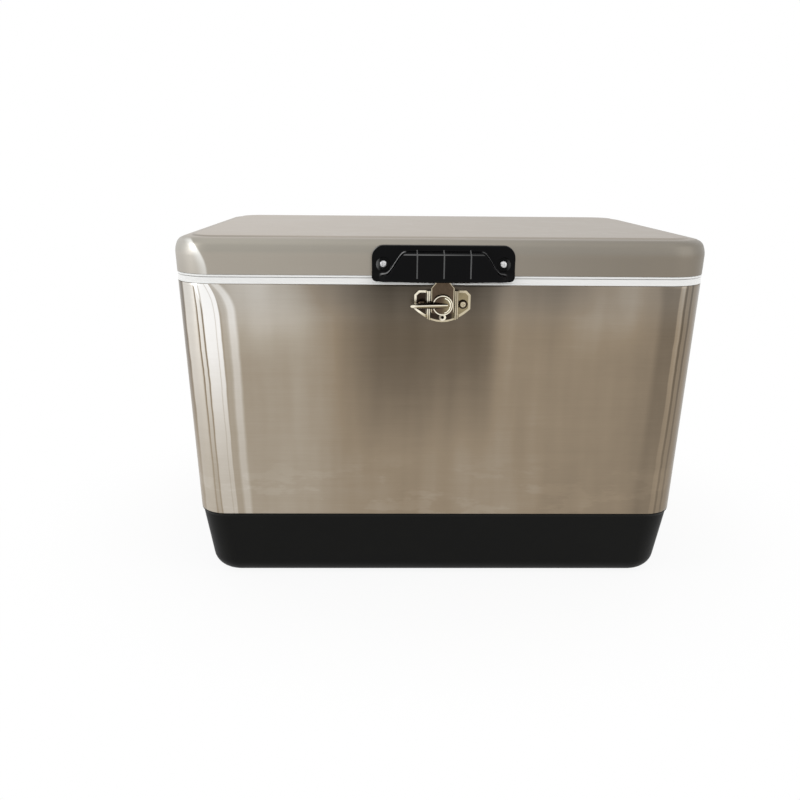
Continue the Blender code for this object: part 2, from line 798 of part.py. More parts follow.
def grip_share(along):
    # 1 over the grip's top, 0 on the wings, and an S curve between along the grip's sides
    share = 1 - (abs(along) - GRIP_TOP_WIDTH / 2) / GRIP_SIDE
    share = min(max(share, 0.0), 1.0)
    return share**2 * (3 - 2 * share)


def grip_edge(along):
    lip = max(LIP_HEIGHT - HANDLE_HEIGHT / 2, handle_bottom(along) + LIP_END_HEIGHT)
    return lip + (GRIP_TOP_RISE - lip) * grip_share(along)


def grip_face(along):
    # How far out the grip's upper edge stands
    flare = min((GRIP_TOP_WIDTH / 2 + GRIP_SIDE + GRIP_FLARE - abs(along)) / GRIP_FLARE, 1.0)
    low = lip_reach(along) - GRIP_ROUND
    return low + (GRIP_REACH - low) * max(flare, 0.0)


def handle_front(along):
    # (out, up) of the handle's front, from its foot to its top edge
    foot = handle_bottom(along)
    head = handle_top(along)
    edge = grip_edge(along)
    lip = lip_reach(along)
    face = grip_face(along)
    step = min(GRIP_STEP, (head - HANDLE_EDGE - edge) / 2)
    bend = min(LIP_ROUND, (edge - GRIP_ROUND - foot) / 2)
    soft = bend * (1 - cos(pi / 4))
    return [
        (lip - bend, foot),
        (lip - soft, foot + soft),
        (lip, foot + bend),
        (lip - (lip - face) / 2, (foot + bend + edge - GRIP_ROUND) / 2),
        (face, edge - GRIP_ROUND),
        (face - GRIP_ROUND / 2, edge - GRIP_ROUND / 4),
        (face - GRIP_ROUND, edge),
        (HANDLE_PLATE + GRIP_ROUND / 2, edge + step - GRIP_ROUND / 2),
        (HANDLE_PLATE, edge + step),
        (HANDLE_PLATE, head - HANDLE_EDGE),
        (HANDLE_PLATE - HANDLE_EDGE / 3, head - HANDLE_EDGE / 3),
        (HANDLE_PLATE - HANDLE_EDGE, head),
    ]


def handle_stations():
    half = HANDLE_WIDTH / 2
    grip = GRIP_TOP_WIDTH / 2
    side = [grip * share for share in GRIP_SHARES]
    side += [grip + GRIP_SIDE * share for share in GRIP_SIDE_SHARES]
    side += [grip + GRIP_SIDE + GRIP_FLARE * share for share in GRIP_FLARE_SHARES]
    side += [half - HANDLE_CORNER * (1 - sin(pi / 2 * share)) for share in HANDLE_CORNER_SHARES]
    return [-along for along in side[:0:-1]] + side


def make_lid_handle(lid):
    frame = site("front", HANDLE_MIDDLE)
    half = HANDLE_WIDTH / 2
    skirt = SKIRT_BOTTOM - HANDLE_MIDDLE + OVERRUN
    sections = []
    for along in handle_stations():
        points = handle_front(along)
        back = [(FIT, points[-1][1]), (FIT, skirt), (HANDLE_RELIEF, skirt), (HANDLE_RELIEF, points[0][1])]
        sections.append([Vector((along, -out, up)) for out, up in points + back])
    handle = lofted("lid_handle", sections, frame, lid, black_moulding())

    inside = []
    hollow = HOLLOW_WIDTH / 2
    for share in HOLLOW_SHARES:
        along = hollow * share
        face = min(grip_face(along), lip_reach(along)) - HANDLE_WALL
        roof = max(grip_edge(along) - HANDLE_WALL, LIP_HEIGHT / 2 - HANDLE_HEIGHT / 2)
        floor = -HANDLE_HEIGHT / 2 - OVERRUN
        section = [(-OVERRUN, floor), (face, floor), (face, roof - GRIP_ROUND)]
        section += [(face - GRIP_ROUND, roof), (-OVERRUN, roof)]
        inside.append([Vector((along, -out, up)) for out, up in section])
    combine(handle, lofted("handle_hollow", inside, frame, lid, None), "DIFFERENCE")

    bm = bmesh.new()
    for middle in (-HANDLE_RIB_SPACING, 0.0, HANDLE_RIB_SPACING):
        front = handle_front(middle)[2:9]
        proud = [(out + HANDLE_RIB_RISE, up + HANDLE_RIB_RISE) for out, up in front]
        sunk = [(out - HANDLE_RIB_RISE, up - HANDLE_RIB_RISE / 2) for out, up in front]
        add_bar(bm, proud + sunk[::-1], middle - HANDLE_RIB_WIDTH / 2, middle + HANDLE_RIB_WIDTH / 2)
    combine(handle, keep("handle_ribs", bm, frame, lid, None), "UNION")

    places = [at(frame, side * HANDLE_SCREW_SPACING / 2, -HANDLE_SCREW_DROP) for side in (-1, 1)]
    wells = rods("handle_wells", places, COUNTERBORE, COUNTERBORE_FLOOR, half, TURN_STEPS)
    combine(handle, wells, "DIFFERENCE")
    holes = rods("handle_holes", places, bore_for(SCREW_SHANK), -OVERRUN, COUNTERBORE_FLOOR + OVERRUN)
    combine(handle, holes, "DIFFERENCE")
    for side, place in zip(("left", "right"), places):
        seat = at(place, 0.0, 0.0, COUNTERBORE_FLOOR + FIT)
        make_screw(f"lid_handle_screw_{side}", seat, lid)
    return places


# Turn latch
def plate_outline():
    half = PLATE_WIDTH / 2
    points = [(half, PLATE_RISE - PLATE_CHAMFER), (half - PLATE_CHAMFER, PLATE_RISE)]
    points += [(-along, up) for along, up in points[::-1]]
    for step in range(BORE_STEPS + 1):
        share = step * 2 / BORE_STEPS - 1
        points.append((half * share, share**2 * (PLATE_FALL - PLATE_SIDE_FALL) - PLATE_FALL))
    return points


def make_latch_plate(chest, frame):
    half = PLATE_WIDTH / 2
    wing = FIT + PLATE_SHEET
    inner = CHANNEL_WIDTH / 2
    outer = inner + CHANNEL_RIB_WIDTH
    lean = CHANNEL_LEAN
    side = [
        (inner, CHANNEL_FLOOR),
        (inner + lean, CHANNEL_RIB_REACH),
        (outer - lean, CHANNEL_RIB_REACH),
        (outer, wing),
        (half + OVERRUN, wing),
        (half + OVERRUN, FIT),
        (outer - PLATE_SHEET, FIT),
        (outer - PLATE_SHEET - lean, CHANNEL_RIB_REACH - PLATE_SHEET),
        (inner + PLATE_SHEET + lean, CHANNEL_RIB_REACH - PLATE_SHEET),
        (inner + PLATE_SHEET, CHANNEL_FLOOR - PLATE_SHEET),
    ]
    section = side + [(-along, out) for along, out in side[::-1]]
    low, high = -PLATE_FALL - OVERRUN, PLATE_RISE + OVERRUN
    bm = bmesh.new()
    add_loft(bm, [[Vector((along, -out, up)) for along, out in section] for up in (low, high)])
    keeper = keep("latch_plate", bm, frame, chest, bright_nickel())
    trim = plate("plate_trim", plate_outline(), -OVERRUN, LIP_REACH, frame, chest, None)
    combine(keeper, trim, "INTERSECT")

    places = [at(frame, side * PLATE_SCREW_OFFSET, 0.0) for side in (-1, 1)]
    holes = rods("plate_holes", places, bore_for(SCREW_SHANK), -OVERRUN, wing + OVERRUN)
    dimples = rods("plate_dimples", places, DIMPLE, wing - DIMPLE_DEPTH, wing + OVERRUN, TURN_STEPS)
    stud = bore_for(STUD, TURN_STEPS)
    bore = rods("plate_bore", [frame], stud, -OVERRUN, CHANNEL_FLOOR + OVERRUN, TURN_STEPS)
    for cutter in (holes, dimples, bore):
        combine(keeper, cutter, "DIFFERENCE")
    for side, place in zip(("left", "right"), places):
        seat = at(place, 0.0, 0.0, wing - DIMPLE_DEPTH + FIT)
        make_screw(f"latch_screw_{side}", seat, chest)
    return places


def tongue_outline(top):
    neck = TONGUE_NECK_WIDTH / 2
    half = CHANNEL_WIDTH / 2 - TONGUE_SIDE_GAP
    window = NECK_LONG / 2 + NECK_GAP
    throat = NECK_SHORT / 2 + NECK_GAP
    meet = sqrt(window**2 - throat**2)
    right = [
        (neck, top),
        (neck, TONGUE_SHOULDER + TONGUE_FLARE),
        (half, TONGUE_SHOULDER),
        (half, TONGUE_ROUND - TONGUE_FALL),
        (half - TONGUE_ROUND, -TONGUE_FALL),
        (throat, -TONGUE_FALL),
    ]
    start = atan(throat / meet)
    arc = []
    for step in range(TURN_STEPS + 1):
        angle = start + (pi - start) * step / TURN_STEPS
        arc.append((window * sin(angle), -window * cos(angle)))
    right += arc[:-1]
    return right + [(0.0, window)] + [(-along, up) for along, up in right[::-1]]


def make_latch_tongue(lid, frame):
    skirt = (SKIRT_BOTTOM - LATCH_HEIGHT) / cos(WALL_LEAN)
    top = skirt + TONGUE_RISE_ON_SKIRT
    seat = FIT
    raised = CHANNEL_FLOOR + TONGUE_LIFT
    bend = skirt + FIT
    low = bend - TONGUE_BEND_LENGTH
    lean = TONGUE_SHEET / 2
    section = [
        (seat, top + OVERRUN),
        (seat, bend),
        (raised, low),
        (raised, -TONGUE_FALL - OVERRUN),
        (raised + TONGUE_SHEET, -TONGUE_FALL - OVERRUN),
        (raised + TONGUE_SHEET, low + lean),
        (seat + TONGUE_SHEET, bend + lean),
        (seat + TONGUE_SHEET, top + OVERRUN),
    ]
    half = CHANNEL_WIDTH / 2 + OVERRUN
    tongue = bar("latch_tongue", section, -half, half, frame, lid, bright_nickel())
    trim = plate("tongue_trim", tongue_outline(top), -OVERRUN, LIP_REACH, frame, lid, None)
    combine(tongue, trim, "INTERSECT")
    places = []
    for side, sign in (("left", -1), ("right", 1)):
        place = at(frame, sign * TONGUE_RIVET_SPACING / 2, skirt + TONGUE_RIVET_RISE)
        places.append(place)
        make_rivet(f"latch_tongue_rivet_{side}", at(place, 0.0, 0.0, seat + TONGUE_SHEET + FIT), lid)
    hole = bore_for(RIVET_SHANK)
    holes = rods("tongue_holes", places, hole, -OVERRUN, seat + TONGUE_SHEET + OVERRUN)
    combine(tongue, holes, "DIFFERENCE")
    return places


def make_latch_turret(turret, frame):
    disc_back = CHANNEL_FLOOR + TONGUE_LIFT + TONGUE_SHEET + DISC_GAP
    disc_front = disc_back + DISC_SHEET
    clip_front = CHANNEL_FLOOR - PLATE_SHEET - FIT
    neck_foot = CHANNEL_FLOOR + FIT
    core = [
        (0.0, STUD_TIP_GAP),
        (STUD_END, STUD_TIP_GAP),
        (STUD_END, clip_front + FIT / 2),
        (STUD, clip_front + FIT / 2),
        (STUD, disc_back),
        (DISC - DISC_ROUND, disc_back),
        (DISC, disc_back + DISC_ROUND),
        (DISC, disc_front - DISC_ROUND),
        (DISC - DISC_ROUND, disc_front),
        (0.0, disc_front),
    ]
    body = turned("latch_turret", core, frame, turret, bright_nickel(), DISC_STEPS)

    corner = atan(NECK_SHORT / sqrt(NECK_LONG**2 - NECK_SHORT**2))
    side = []
    for step in range(SMALL_STEPS + 1):
        angle = corner * (2 * step / SMALL_STEPS - 1)
        side.append((NECK_LONG / 2 * sin(angle), NECK_LONG / 2 * cos(angle)))
    outline = side + [(-along, -up) for along, up in side]
    neck = plate("turret_neck", outline, neck_foot, disc_back + FIT, frame, turret, None)
    combine(body, neck, "UNION")

    sections = []
    for step in range(BORE_STEPS + 1):
        angle = RIDGE_SPREAD * (2 * step / BORE_STEPS - 1)
        inner, outer = RIDGE_ARC - RIDGE_WIDTH / 2, RIDGE_ARC + RIDGE_WIDTH / 2
        ring = [(inner, -FIT), (inner, RIDGE_RISE), (outer, RIDGE_RISE), (outer, -FIT)]
        sections.append(
            [Vector((r * cos(angle), -disc_front - out, r * sin(angle))) for r, out in ring]
        )
    combine(body, lofted("turret_ridge", sections, frame, turret, None), "UNION")
    combine(body, make_lever(turret, frame, disc_front), "UNION")

    tail_back = CHANNEL_RIB_REACH + EYE_RIB_GAP
    outline = []
    open_angle = atan(TAIL_WIDTH / 2 / EYE_OUTER)
    for step in range(TURN_STEPS + 1):
        angle = open_angle + (tau - 2 * open_angle) * step / TURN_STEPS
        outline.append((EYE_OUTER * sin(angle), EYE_OUTER * cos(angle) - EYE_DROP))
    outline += [(-TAIL_WIDTH / 2, -RIDGE_ARC / 2), (TAIL_WIDTH / 2, -RIDGE_ARC / 2)]
    tail = plate("turret_tail", outline, tail_back, tail_back + EYE_SHEET, frame, turret, None)
    combine(body, tail, "UNION")
    eye = rods("turret_eye", [at(frame, 0.0, -EYE_DROP)], EYE_HOLE, 0.0, LIP_REACH)
    combine(body, eye, "DIFFERENCE")

    inner = bore_for(STUD_END, TURN_STEPS)
    clip_back = clip_front - CLIP_SHEET
    ring = [(inner, clip_back), (CLIP, clip_back), (CLIP, clip_front), (inner, clip_front)]
    turned("latch_turret_clip", ring, frame, turret, zinc_steel(), closed=True)


def make_lever(turret, frame, disc_front):
    # A wedge-shaped blade: broad against the disc, thin along its front, round at the tip
    clear = CHANNEL_RIB_REACH + LEVER_RIB_GAP
    sections = []
    for step in range(LEVER_STEPS + 1):
        share = step / LEVER_STEPS
        along = LEVER_ROOT - (LEVER_ROOT + LEVER_LENGTH) * share
        swell = min(share / LEVER_SWELL_SHARE, 1.0)
        fade = max((share - LEVER_FADE_SHARE) / (1 - LEVER_FADE_SHARE), 0.0)
        near_tip = max((share - 1 + LEVER_TIP_SHARE) / LEVER_TIP_SHARE, 0.0)
        tip = sqrt(1 - near_tip**2 * (1 - LEVER_TIP_END_SHARE**2))
        back_half = LEVER_BACK_HALF * (1 + swell) / 2 * (1 - fade) + LEVER_TIP_HALF * fade
        back = clear + (LEVER_TIP_BACK - clear) * share**2
        front = LEVER_ROOT_REACH + (LEVER_TIP_REACH - LEVER_ROOT_REACH) * share
        middle = (front + back) / 2
        half_depth = (front - back) / 2 * tip
        ring = [
            (middle - half_depth, -back_half * tip / 2),
            (middle - half_depth / 2, -back_half * tip),
            (middle + half_depth, -LEVER_FRONT_HALF * tip),
            (middle + half_depth, LEVER_FRONT_HALF * tip),
            (middle - half_depth / 2, back_half * tip),
            (middle - half_depth, back_half * tip / 2),
        ]
        sections.append([Vector((along, -out, up)) for out, up in ring])
    return lofted("turret_lever", sections, frame, turret, None)


# Hinges
def leaf_outline(half, low, high, part):
    # A leaf's outline, with its two corners away from the knuckles rounded
    way = 1 if part == "lid" else -1
    outer, inner = (high, low) if part == "lid" else (low, high)
    outline = [(-way * half, inner), (way * half, inner)]
    for side in (way, -way):
        for step in range(LEAF_CORNER_STEPS + 1):
            share = step / LEAF_CORNER_STEPS if side == way else 1 - step / LEAF_CORNER_STEPS
            turn = share * pi / 2
            across = side * (half - LEAF_CORNER * (1 - cos(turn)))
            outline.append((across, outer - way * LEAF_CORNER * (1 - sin(turn))))
    return outline


def make_hinge(chest, lid, name, along):
    frame = site("back", HINGE_HEIGHT, along)
    half = HINGE_WIDTH / 2
    middle = HINGE_MIDDLE_KNUCKLE / 2
    clear = HINGE_BARREL + HINGE_CLEARANCE
    leaf_front = FIT + HINGE_SHEET
    reach = half + OVERRUN
    bore = [at(frame, 0.0, 0.0, HINGE_AXIS_OUT) @ Matrix.Rotation(-pi / 2, 4, "Z")]
    knuckles = {
        "lid": [(-middle, middle)],
        "body": [(-half, -middle - HINGE_KNUCKLE_GAP), (middle + HINGE_KNUCKLE_GAP, half)],
    }
    spans = {"lid": (clear, LID_LEAF_HEIGHT, LID_LEAF_SCREW_RISE)}
    spans["body"] = (-BODY_LEAF_HEIGHT, -clear, -BODY_LEAF_SCREW_DROP)
    screws = {}
    for part, body in (("lid", lid), ("body", chest)):
        low, high, row = spans[part]
        title = f"hinge_{name}_{part}_leaf"
        leaf = plate(title, leaf_outline(half, low, high, part), FIT, leaf_front, frame, body, zinc_steel())
        for number, (start, end) in enumerate(knuckles[part]):
            edge = high if part == "body" else low
            toward = edge - HINGE_SHEET if part == "body" else edge + HINGE_SHEET
            web = [(start, 0.0), (end, 0.0), (end, toward), (start, toward)]
            strip = plate(f"{title}_web_{number}", web, FIT, leaf_front, frame, body, None)
            combine(leaf, strip, "UNION")
            tube = rods(f"{title}_knuckle_{number}", bore, HINGE_BARREL, start, end, BORE_STEPS)
            combine(leaf, tube, "UNION")
        combine(leaf, rods(f"{title}_bore", bore, bore_for(HINGE_PIN), -reach, reach), "DIFFERENCE")
        places = [at(frame, side * LEAF_SCREW_SPACING / 2, row) for side in (-1, 1)]
        holes = rods(f"{title}_holes", places, bore_for(SCREW_SHANK), -OVERRUN, leaf_front + OVERRUN)
        combine(leaf, holes, "DIFFERENCE")
        for side, place in zip(("a", "b"), places):
            make_screw(f"hinge_{name}_{part}_screw_{side}", at(place, 0.0, 0.0, leaf_front + FIT), body)
        screws[part] = places
    head = half + PIN_HEAD_HEIGHT + FIT
    pin = [(0.0, -head), (PIN_HEAD, -head), (PIN_HEAD, -half - FIT), (HINGE_PIN, -half - FIT)]
    pin += [(HINGE_PIN, half + FIT), (PIN_HEAD, half + FIT), (PIN_HEAD, head), (0.0, head)]
    turned(f"hinge_{name}_pin", pin, bore[0], chest, zinc_steel(), SMALL_STEPS)
    return screws


# Side handles
def make_bracket(name, frame, chest):
    half = BRACKET_WIDTH / 2
    outline = []
    for quarter, (side, up) in enumerate(((1, 1), (-1, 1), (-1, -1), (1, -1))):
        for step in range(3):
            angle = (quarter + step / 2) * pi / 2
            across = side * (half - BRACKET_CORNER) + BRACKET_CORNER * cos(angle)
            high = up * (BRACKET_HEIGHT / 2 - BRACKET_CORNER) + BRACKET_CORNER * sin(angle)
            outline.append((across, high))
    bracket = plate(name, outline, FIT, FIT + BRACKET_SHEET, frame, chest, black_moulding())
    section = [(FIT * 2, -EAR_FOOT / 2)]
    for step in range(SMALL_STEPS + 1):
        angle = pi * (step / SMALL_STEPS - 0.5)
        section.append((SIDE_PIVOT_OUT + EAR_ROUND * cos(angle), EAR_ROUND * sin(angle)))
    section.append((FIT * 2, EAR_FOOT / 2))
    ear = bar(f"{name}_ear", section, -EAR_WIDTH / 2, EAR_WIDTH / 2, frame, chest, None)
    combine(bracket, ear, "UNION")
    axis = at(frame, 0.0, 0.0, SIDE_PIVOT_OUT) @ Matrix.Rotation(-pi / 2, 4, "Z")
    rod = bore_for(BAIL_ROD, BORE_STEPS)
    bore = rods(f"{name}_bore", [axis], rod, -EAR_WIDTH, EAR_WIDTH, BORE_STEPS)
    combine(bracket, bore, "DIFFERENCE")
    places = [at(frame, 0.0, side * BRACKET_SCREW_SPACING / 2) for side in (-1, 1)]
    holes = rods(f"{name}_holes", places, bore_for(SCREW_SHANK), -OVERRUN, SIDE_PIVOT_OUT)
    combine(bracket, holes, "DIFFERENCE")
    for side, place in zip(("low", "high"), places):
        make_screw(f"{name}_screw_{side}", at(place, 0.0, 0.0, FIT + BRACKET_SHEET + FIT), chest)
    return places


def bail_path():
    # (along, up) of the rod's middle, from one pivot round to the other
    ear = BRACKET_SPACING / 2 - EAR_WIDTH / 2 - BAIL_SIDE_GAP
    leg = ear - BAIL_BEND
    end = BRACKET_SPACING / 2 + EAR_WIDTH / 2 + BAIL_END
    half = [(end, 0.0)]
    for step in range(BEND_STEPS + 1):
        angle = pi / 2 * step / BEND_STEPS
        half.append((ear - BAIL_BEND * sin(angle), BAIL_BEND * (cos(angle) - 1)))
    for step in range(BEND_STEPS + 1):
        angle = pi / 2 * step / BEND_STEPS
        across = leg - BAIL_BEND * (1 - cos(angle))
        half.append((across, BAIL_BEND * (1 - sin(angle)) - BAIL_DROP))
    return half + [(-along, up) for along, up in half[::-1]]


def make_side_handle(side, chest):
    frame = site(side, SIDE_PIVOT_HEIGHT)
    screws = []
    for end, sign in (("front", -1), ("back", 1)):
        flip = -sign if side == "left" else sign
        place = at(frame, flip * BRACKET_SPACING / 2, 0.0)
        screws += make_bracket(f"side_handle_{side}_bracket_{end}", place, chest)
    centre = at(frame, 0.0, 0.0, SIDE_PIVOT_OUT).translation
    upright = Matrix.Translation(centre) @ Matrix.Rotation(QUARTERS[side], 4, "Z")
    pivot = body_frame(f"side_handle_{side}_pivot", upright, chest)
    curve = bpy.data.curves.new(f"side_handle_{side}_bail", "CURVE")
    curve.dimensions = "3D"
    curve.bevel_depth = BAIL_ROD
    curve.bevel_resolution = 2
    curve.use_fill_caps = True
    points = bail_path()
    spline = curve.splines.new("POLY")
    spline.points.add(len(points) - 1)
    for point, (along, up) in zip(spline.points, points):
        point.co = (along, 0.0, up, 1.0)
    curve.materials.append(zinc_steel())
    bail = bpy.data.objects.new(f"side_handle_{side}_bail", curve)
    bpy.context.scene.collection.objects.link(bail)
    hang(bail, upright, pivot)

    inner = bore_for(BAIL_ROD, BORE_STEPS)
    half = GRIP_LENGTH / 2
    profile = [(inner, -half)]
    for step in range(GRIP_STEPS + 1):
        share = step * 2 / GRIP_STEPS - 1
        profile.append((GRIP_MIDDLE - (GRIP_MIDDLE - GRIP_END) * share**2, half * share))
    profile.append((inner, half))
    turn = upright @ Matrix.Translation((0.0, 0.0, -BAIL_DROP)) @ Matrix.Rotation(-pi / 2, 4, "Z")
    turned(f"side_handle_{side}_grip", profile, turn, pivot, black_moulding(), BORE_STEPS, closed=True)
    return screws


# Drain
def make_drain(chest, tub, foam_body, base):
    frame = body_shift() @ Matrix.Rotation(QUARTERS["right"], 4, "Z")
    frame = frame @ Matrix.Translation((0.0, 0.0, DRAIN_HEIGHT))
    pad_top = DRAIN_HEIGHT + BASE_PAD
    wall_top = half_size(LID_WIDTH, BASE_HEIGHT) - BASE_INSET - (BASE_HEIGHT - pad_top) * BASE_SLOPE
    wall_low = wall_top - 2 * BASE_PAD * BASE_SLOPE
    face = wall_top + BASE_PAD_RISE
    inside = half_size(LID_WIDTH, DRAIN_HEIGHT) - INSULATED_WALL
    tub_face = inside - TUB_PAD_RISE

    root = wall_low - BASE_WALL
    pad = rods("base_pad", [frame], BASE_PAD, root, face, DISC_STEPS)
    combine(base, pad, "UNION")
    tub_root = inside + TUB_WALL / 2
    tub_pad = rods("tub_pad", [frame], TUB_PAD, tub_face, tub_root, TURN_STEPS)
    combine(tub, tub_pad, "UNION")
    hole = bore_for(SPOUT, TURN_STEPS)
    passage = rods("drain_passage", [frame], hole, tub_face - OVERRUN, face + OVERRUN, TURN_STEPS)
    for thing in (base, tub, foam_body):
        combine(thing, passage, "DIFFERENCE")
    for name, radius, low, high in (
        ("foam_base_pad_room", BASE_PAD + FIT, root - FIT, face),
        ("foam_tub_pad_room", TUB_PAD + FIT, tub_face, tub_root + FIT),
    ):
        combine(foam_body, rods(name, [frame], radius, low, high, DISC_STEPS), "DIFFERENCE")

    gasket_out = face + FIT + GASKET_SHEET
    gasket = [(hole, face + FIT), (GASKET, face + FIT), (GASKET, gasket_out), (hole, gasket_out)]
    turned("drain_gasket", gasket, frame, chest, rubber(), closed=True)
    flange = gasket_out + FIT
    flange_out = flange + SPOUT_FLANGE_SHEET
    snout_end = flange_out + SNOUT_LENGTH
    inner_end = tub_face - SPOUT_INSIDE_END
    spout = [
        (SPOUT_BORE, inner_end),
        (SPOUT, inner_end),
        (SPOUT, flange),
        (SPOUT_FLANGE, flange),
        (SPOUT_FLANGE, flange_out),
        (SNOUT, flange_out),
        (SNOUT, snout_end),
        (SPOUT_BORE, snout_end),
    ]
    turned("drain_spout", spout, frame, chest, white_plastic(), closed=True)
    nut_out = tub_face - FIT
    nut_in = nut_out - NUT_HEIGHT
    ring = [(hole, nut_in), (NUT, nut_in), (NUT, nut_out), (hole, nut_out)]
    turned("drain_nut", ring, frame, chest, white_plastic(), closed=True)

    travel = body_frame("drain_travel", at(frame, 0.0, 0.0, snout_end), chest)
    washer_in = snout_end + FIT
    washer_out = washer_in + CAP_WASHER_SHEET
    washer = [(0.0, washer_in), (SNOUT, washer_in), (SNOUT, washer_out), (0.0, washer_out)]
    turned("drain_cap_washer", washer, frame, travel, rubber())
    spin = body_frame("drain_cap_axis", at(frame, 0.0, 0.0, snout_end), travel)
    cap_foot = flange_out + CAP_FOOT_GAP
    cap_roof = washer_out + FIT
    rings = []
    for out, shrink in (
        (cap_foot, 0.0),
        (cap_roof + CAP_TOP - CAP_FLUTE, 0.0),
        (cap_roof + CAP_TOP, CAP_FLUTE),
    ):
        ring = []
        for step in range(CAP_FLUTES * 4):
            angle = tau * step / (CAP_FLUTES * 4)
            radius = CAP - CAP_FLUTE / 2 - shrink + CAP_FLUTE / 2 * cos(CAP_FLUTES * angle)
            ring.append(Vector((radius * cos(angle), -out, radius * sin(angle))))
        rings.append(ring)
    cap = lofted("drain_cap", rings, frame, spin, white_plastic())
    inner = bore_for(SNOUT, TURN_STEPS)
    inside_cap = rods("cap_inside", [frame], inner, cap_foot - OVERRUN, cap_roof, TURN_STEPS)
    combine(cap, inside_cap, "DIFFERENCE")


def build_chest():
    clear_scene()
    chest = body_frame("chest", Matrix())
    hinge_axis = at(site("back", HINGE_HEIGHT), 0.0, 0.0, HINGE_AXIS_OUT)
    lid = body_frame("lid_pivot", hinge_axis, chest)
    latch = site("front", LATCH_HEIGHT)
    turret = body_frame("turret_pivot", latch, chest)

    shell = make_lid_shell(lid)
    make_lid_liner(lid)
    lid_foam = make_lid_foam(lid)
    tub = make_tub_liner(chest)
    foam_body = make_body_foam(chest)
    belt = make_steel_belt(chest)
    base = make_base_tray(chest)

    lid_screws = make_lid_handle(lid)
    body_screws = make_latch_plate(chest, latch)
    lid_rivets = make_latch_tongue(lid, latch)
    make_latch_turret(turret, latch)
    for name, sign in (("left", 1), ("right", -1)):
        screws = make_hinge(chest, lid, name, sign * HINGE_OFFSET_SHARE * LID_WIDTH)
        lid_screws += screws["lid"]
        body_screws += screws["body"]
    for side in ("left", "right"):
        body_screws += make_side_handle(side, chest)
    make_drain(chest, tub, foam_body, base)

    hole = bore_for(SCREW_SHANK)
    depth = -SCREW_LENGTH - FIT
    lid_holes = rods("lid_screw_holes", lid_screws, hole, depth, HINGE_BARREL)
    rivet_holes = rods("lid_rivet_holes", lid_rivets, bore_for(RIVET_SHANK), depth, HINGE_BARREL)
    body_holes = rods("body_screw_holes", body_screws, hole, depth, HINGE_BARREL)
    for thing in (shell, lid_foam):
        combine(thing, lid_holes, "DIFFERENCE")
        combine(thing, rivet_holes, "DIFFERENCE")
    for thing in (belt, foam_body):
        combine(thing, body_holes, "DIFFERENCE")
    even_shading()


build_chest()
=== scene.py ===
import json
import math

import bmesh
import bpy
from mathutils import Matrix, Vector

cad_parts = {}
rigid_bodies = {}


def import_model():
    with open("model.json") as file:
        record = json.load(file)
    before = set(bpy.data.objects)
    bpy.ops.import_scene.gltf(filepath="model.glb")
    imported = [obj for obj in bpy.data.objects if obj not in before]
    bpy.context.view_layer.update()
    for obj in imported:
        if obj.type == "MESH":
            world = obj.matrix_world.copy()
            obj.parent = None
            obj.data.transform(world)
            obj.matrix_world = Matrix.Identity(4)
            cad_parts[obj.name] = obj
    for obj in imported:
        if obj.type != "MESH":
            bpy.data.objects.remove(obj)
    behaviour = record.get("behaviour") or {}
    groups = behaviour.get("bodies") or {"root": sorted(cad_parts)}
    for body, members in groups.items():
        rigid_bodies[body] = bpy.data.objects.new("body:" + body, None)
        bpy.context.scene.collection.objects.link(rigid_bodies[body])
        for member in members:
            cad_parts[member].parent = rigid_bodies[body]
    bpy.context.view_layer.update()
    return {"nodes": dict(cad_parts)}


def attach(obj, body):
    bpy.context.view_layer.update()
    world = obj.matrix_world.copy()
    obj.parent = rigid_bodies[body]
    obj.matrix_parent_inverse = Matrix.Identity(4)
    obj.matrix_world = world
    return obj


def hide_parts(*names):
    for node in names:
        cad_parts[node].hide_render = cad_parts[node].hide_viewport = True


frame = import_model()
print("frame loaded:", len(frame["nodes"]), "nodes")

# the chest's outline, in millimetres as everything modelled below
chest = {
    "halfWidth": 300.0,
    "halfDepth": 216.5,
    "measuredAt": 371.4,  # height of the skirt's lower edge
    "slope": 0.0449,
    "corner": 49.0,
    "footCorner": 35.7,
    "footHeight": 85.0,
    "middle": 6.351,  # the walls' middle lies behind the box's middle
    "cornerSteps": 14,
}
wallLean = math.atan(chest["slope"])
fit = 0.3  # clearance between pieces that touch
millimetre = 0.001
turns = {"front": 0.0, "right": math.pi / 2, "back": math.pi, "left": -math.pi / 2}


# places and outlines
def site(side, height, along=0.0):
    # X runs along the wall, -Y out of it, Z up its slope
    half = chest["halfDepth"] if side in ("front", "back") else chest["halfWidth"]
    out = half + (height - chest["measuredAt"]) * chest["slope"]
    seat = Matrix.Translation((along, -out, height)) @ Matrix.Rotation(wallLean, 4, "X")
    return Matrix.Translation((0, chest["middle"], 0)) @ Matrix.Rotation(turns[side], 4, "Z") @ seat


def near(matrix, along, up, out=0.0):
    return matrix @ Matrix.Translation((along, -out, up))


def cornerAt(height):
    share = (height - chest["footHeight"]) / (chest["measuredAt"] - chest["footHeight"])
    return chest["footCorner"] + (chest["corner"] - chest["footCorner"]) * share


def wallRing(inset, height, corner=None):
    lean = (height - chest["measuredAt"]) * chest["slope"] - inset
    radius = cornerAt(height) - inset if corner is None else corner
    return (chest["halfWidth"] + lean, chest["halfDepth"] + lean, radius, height)


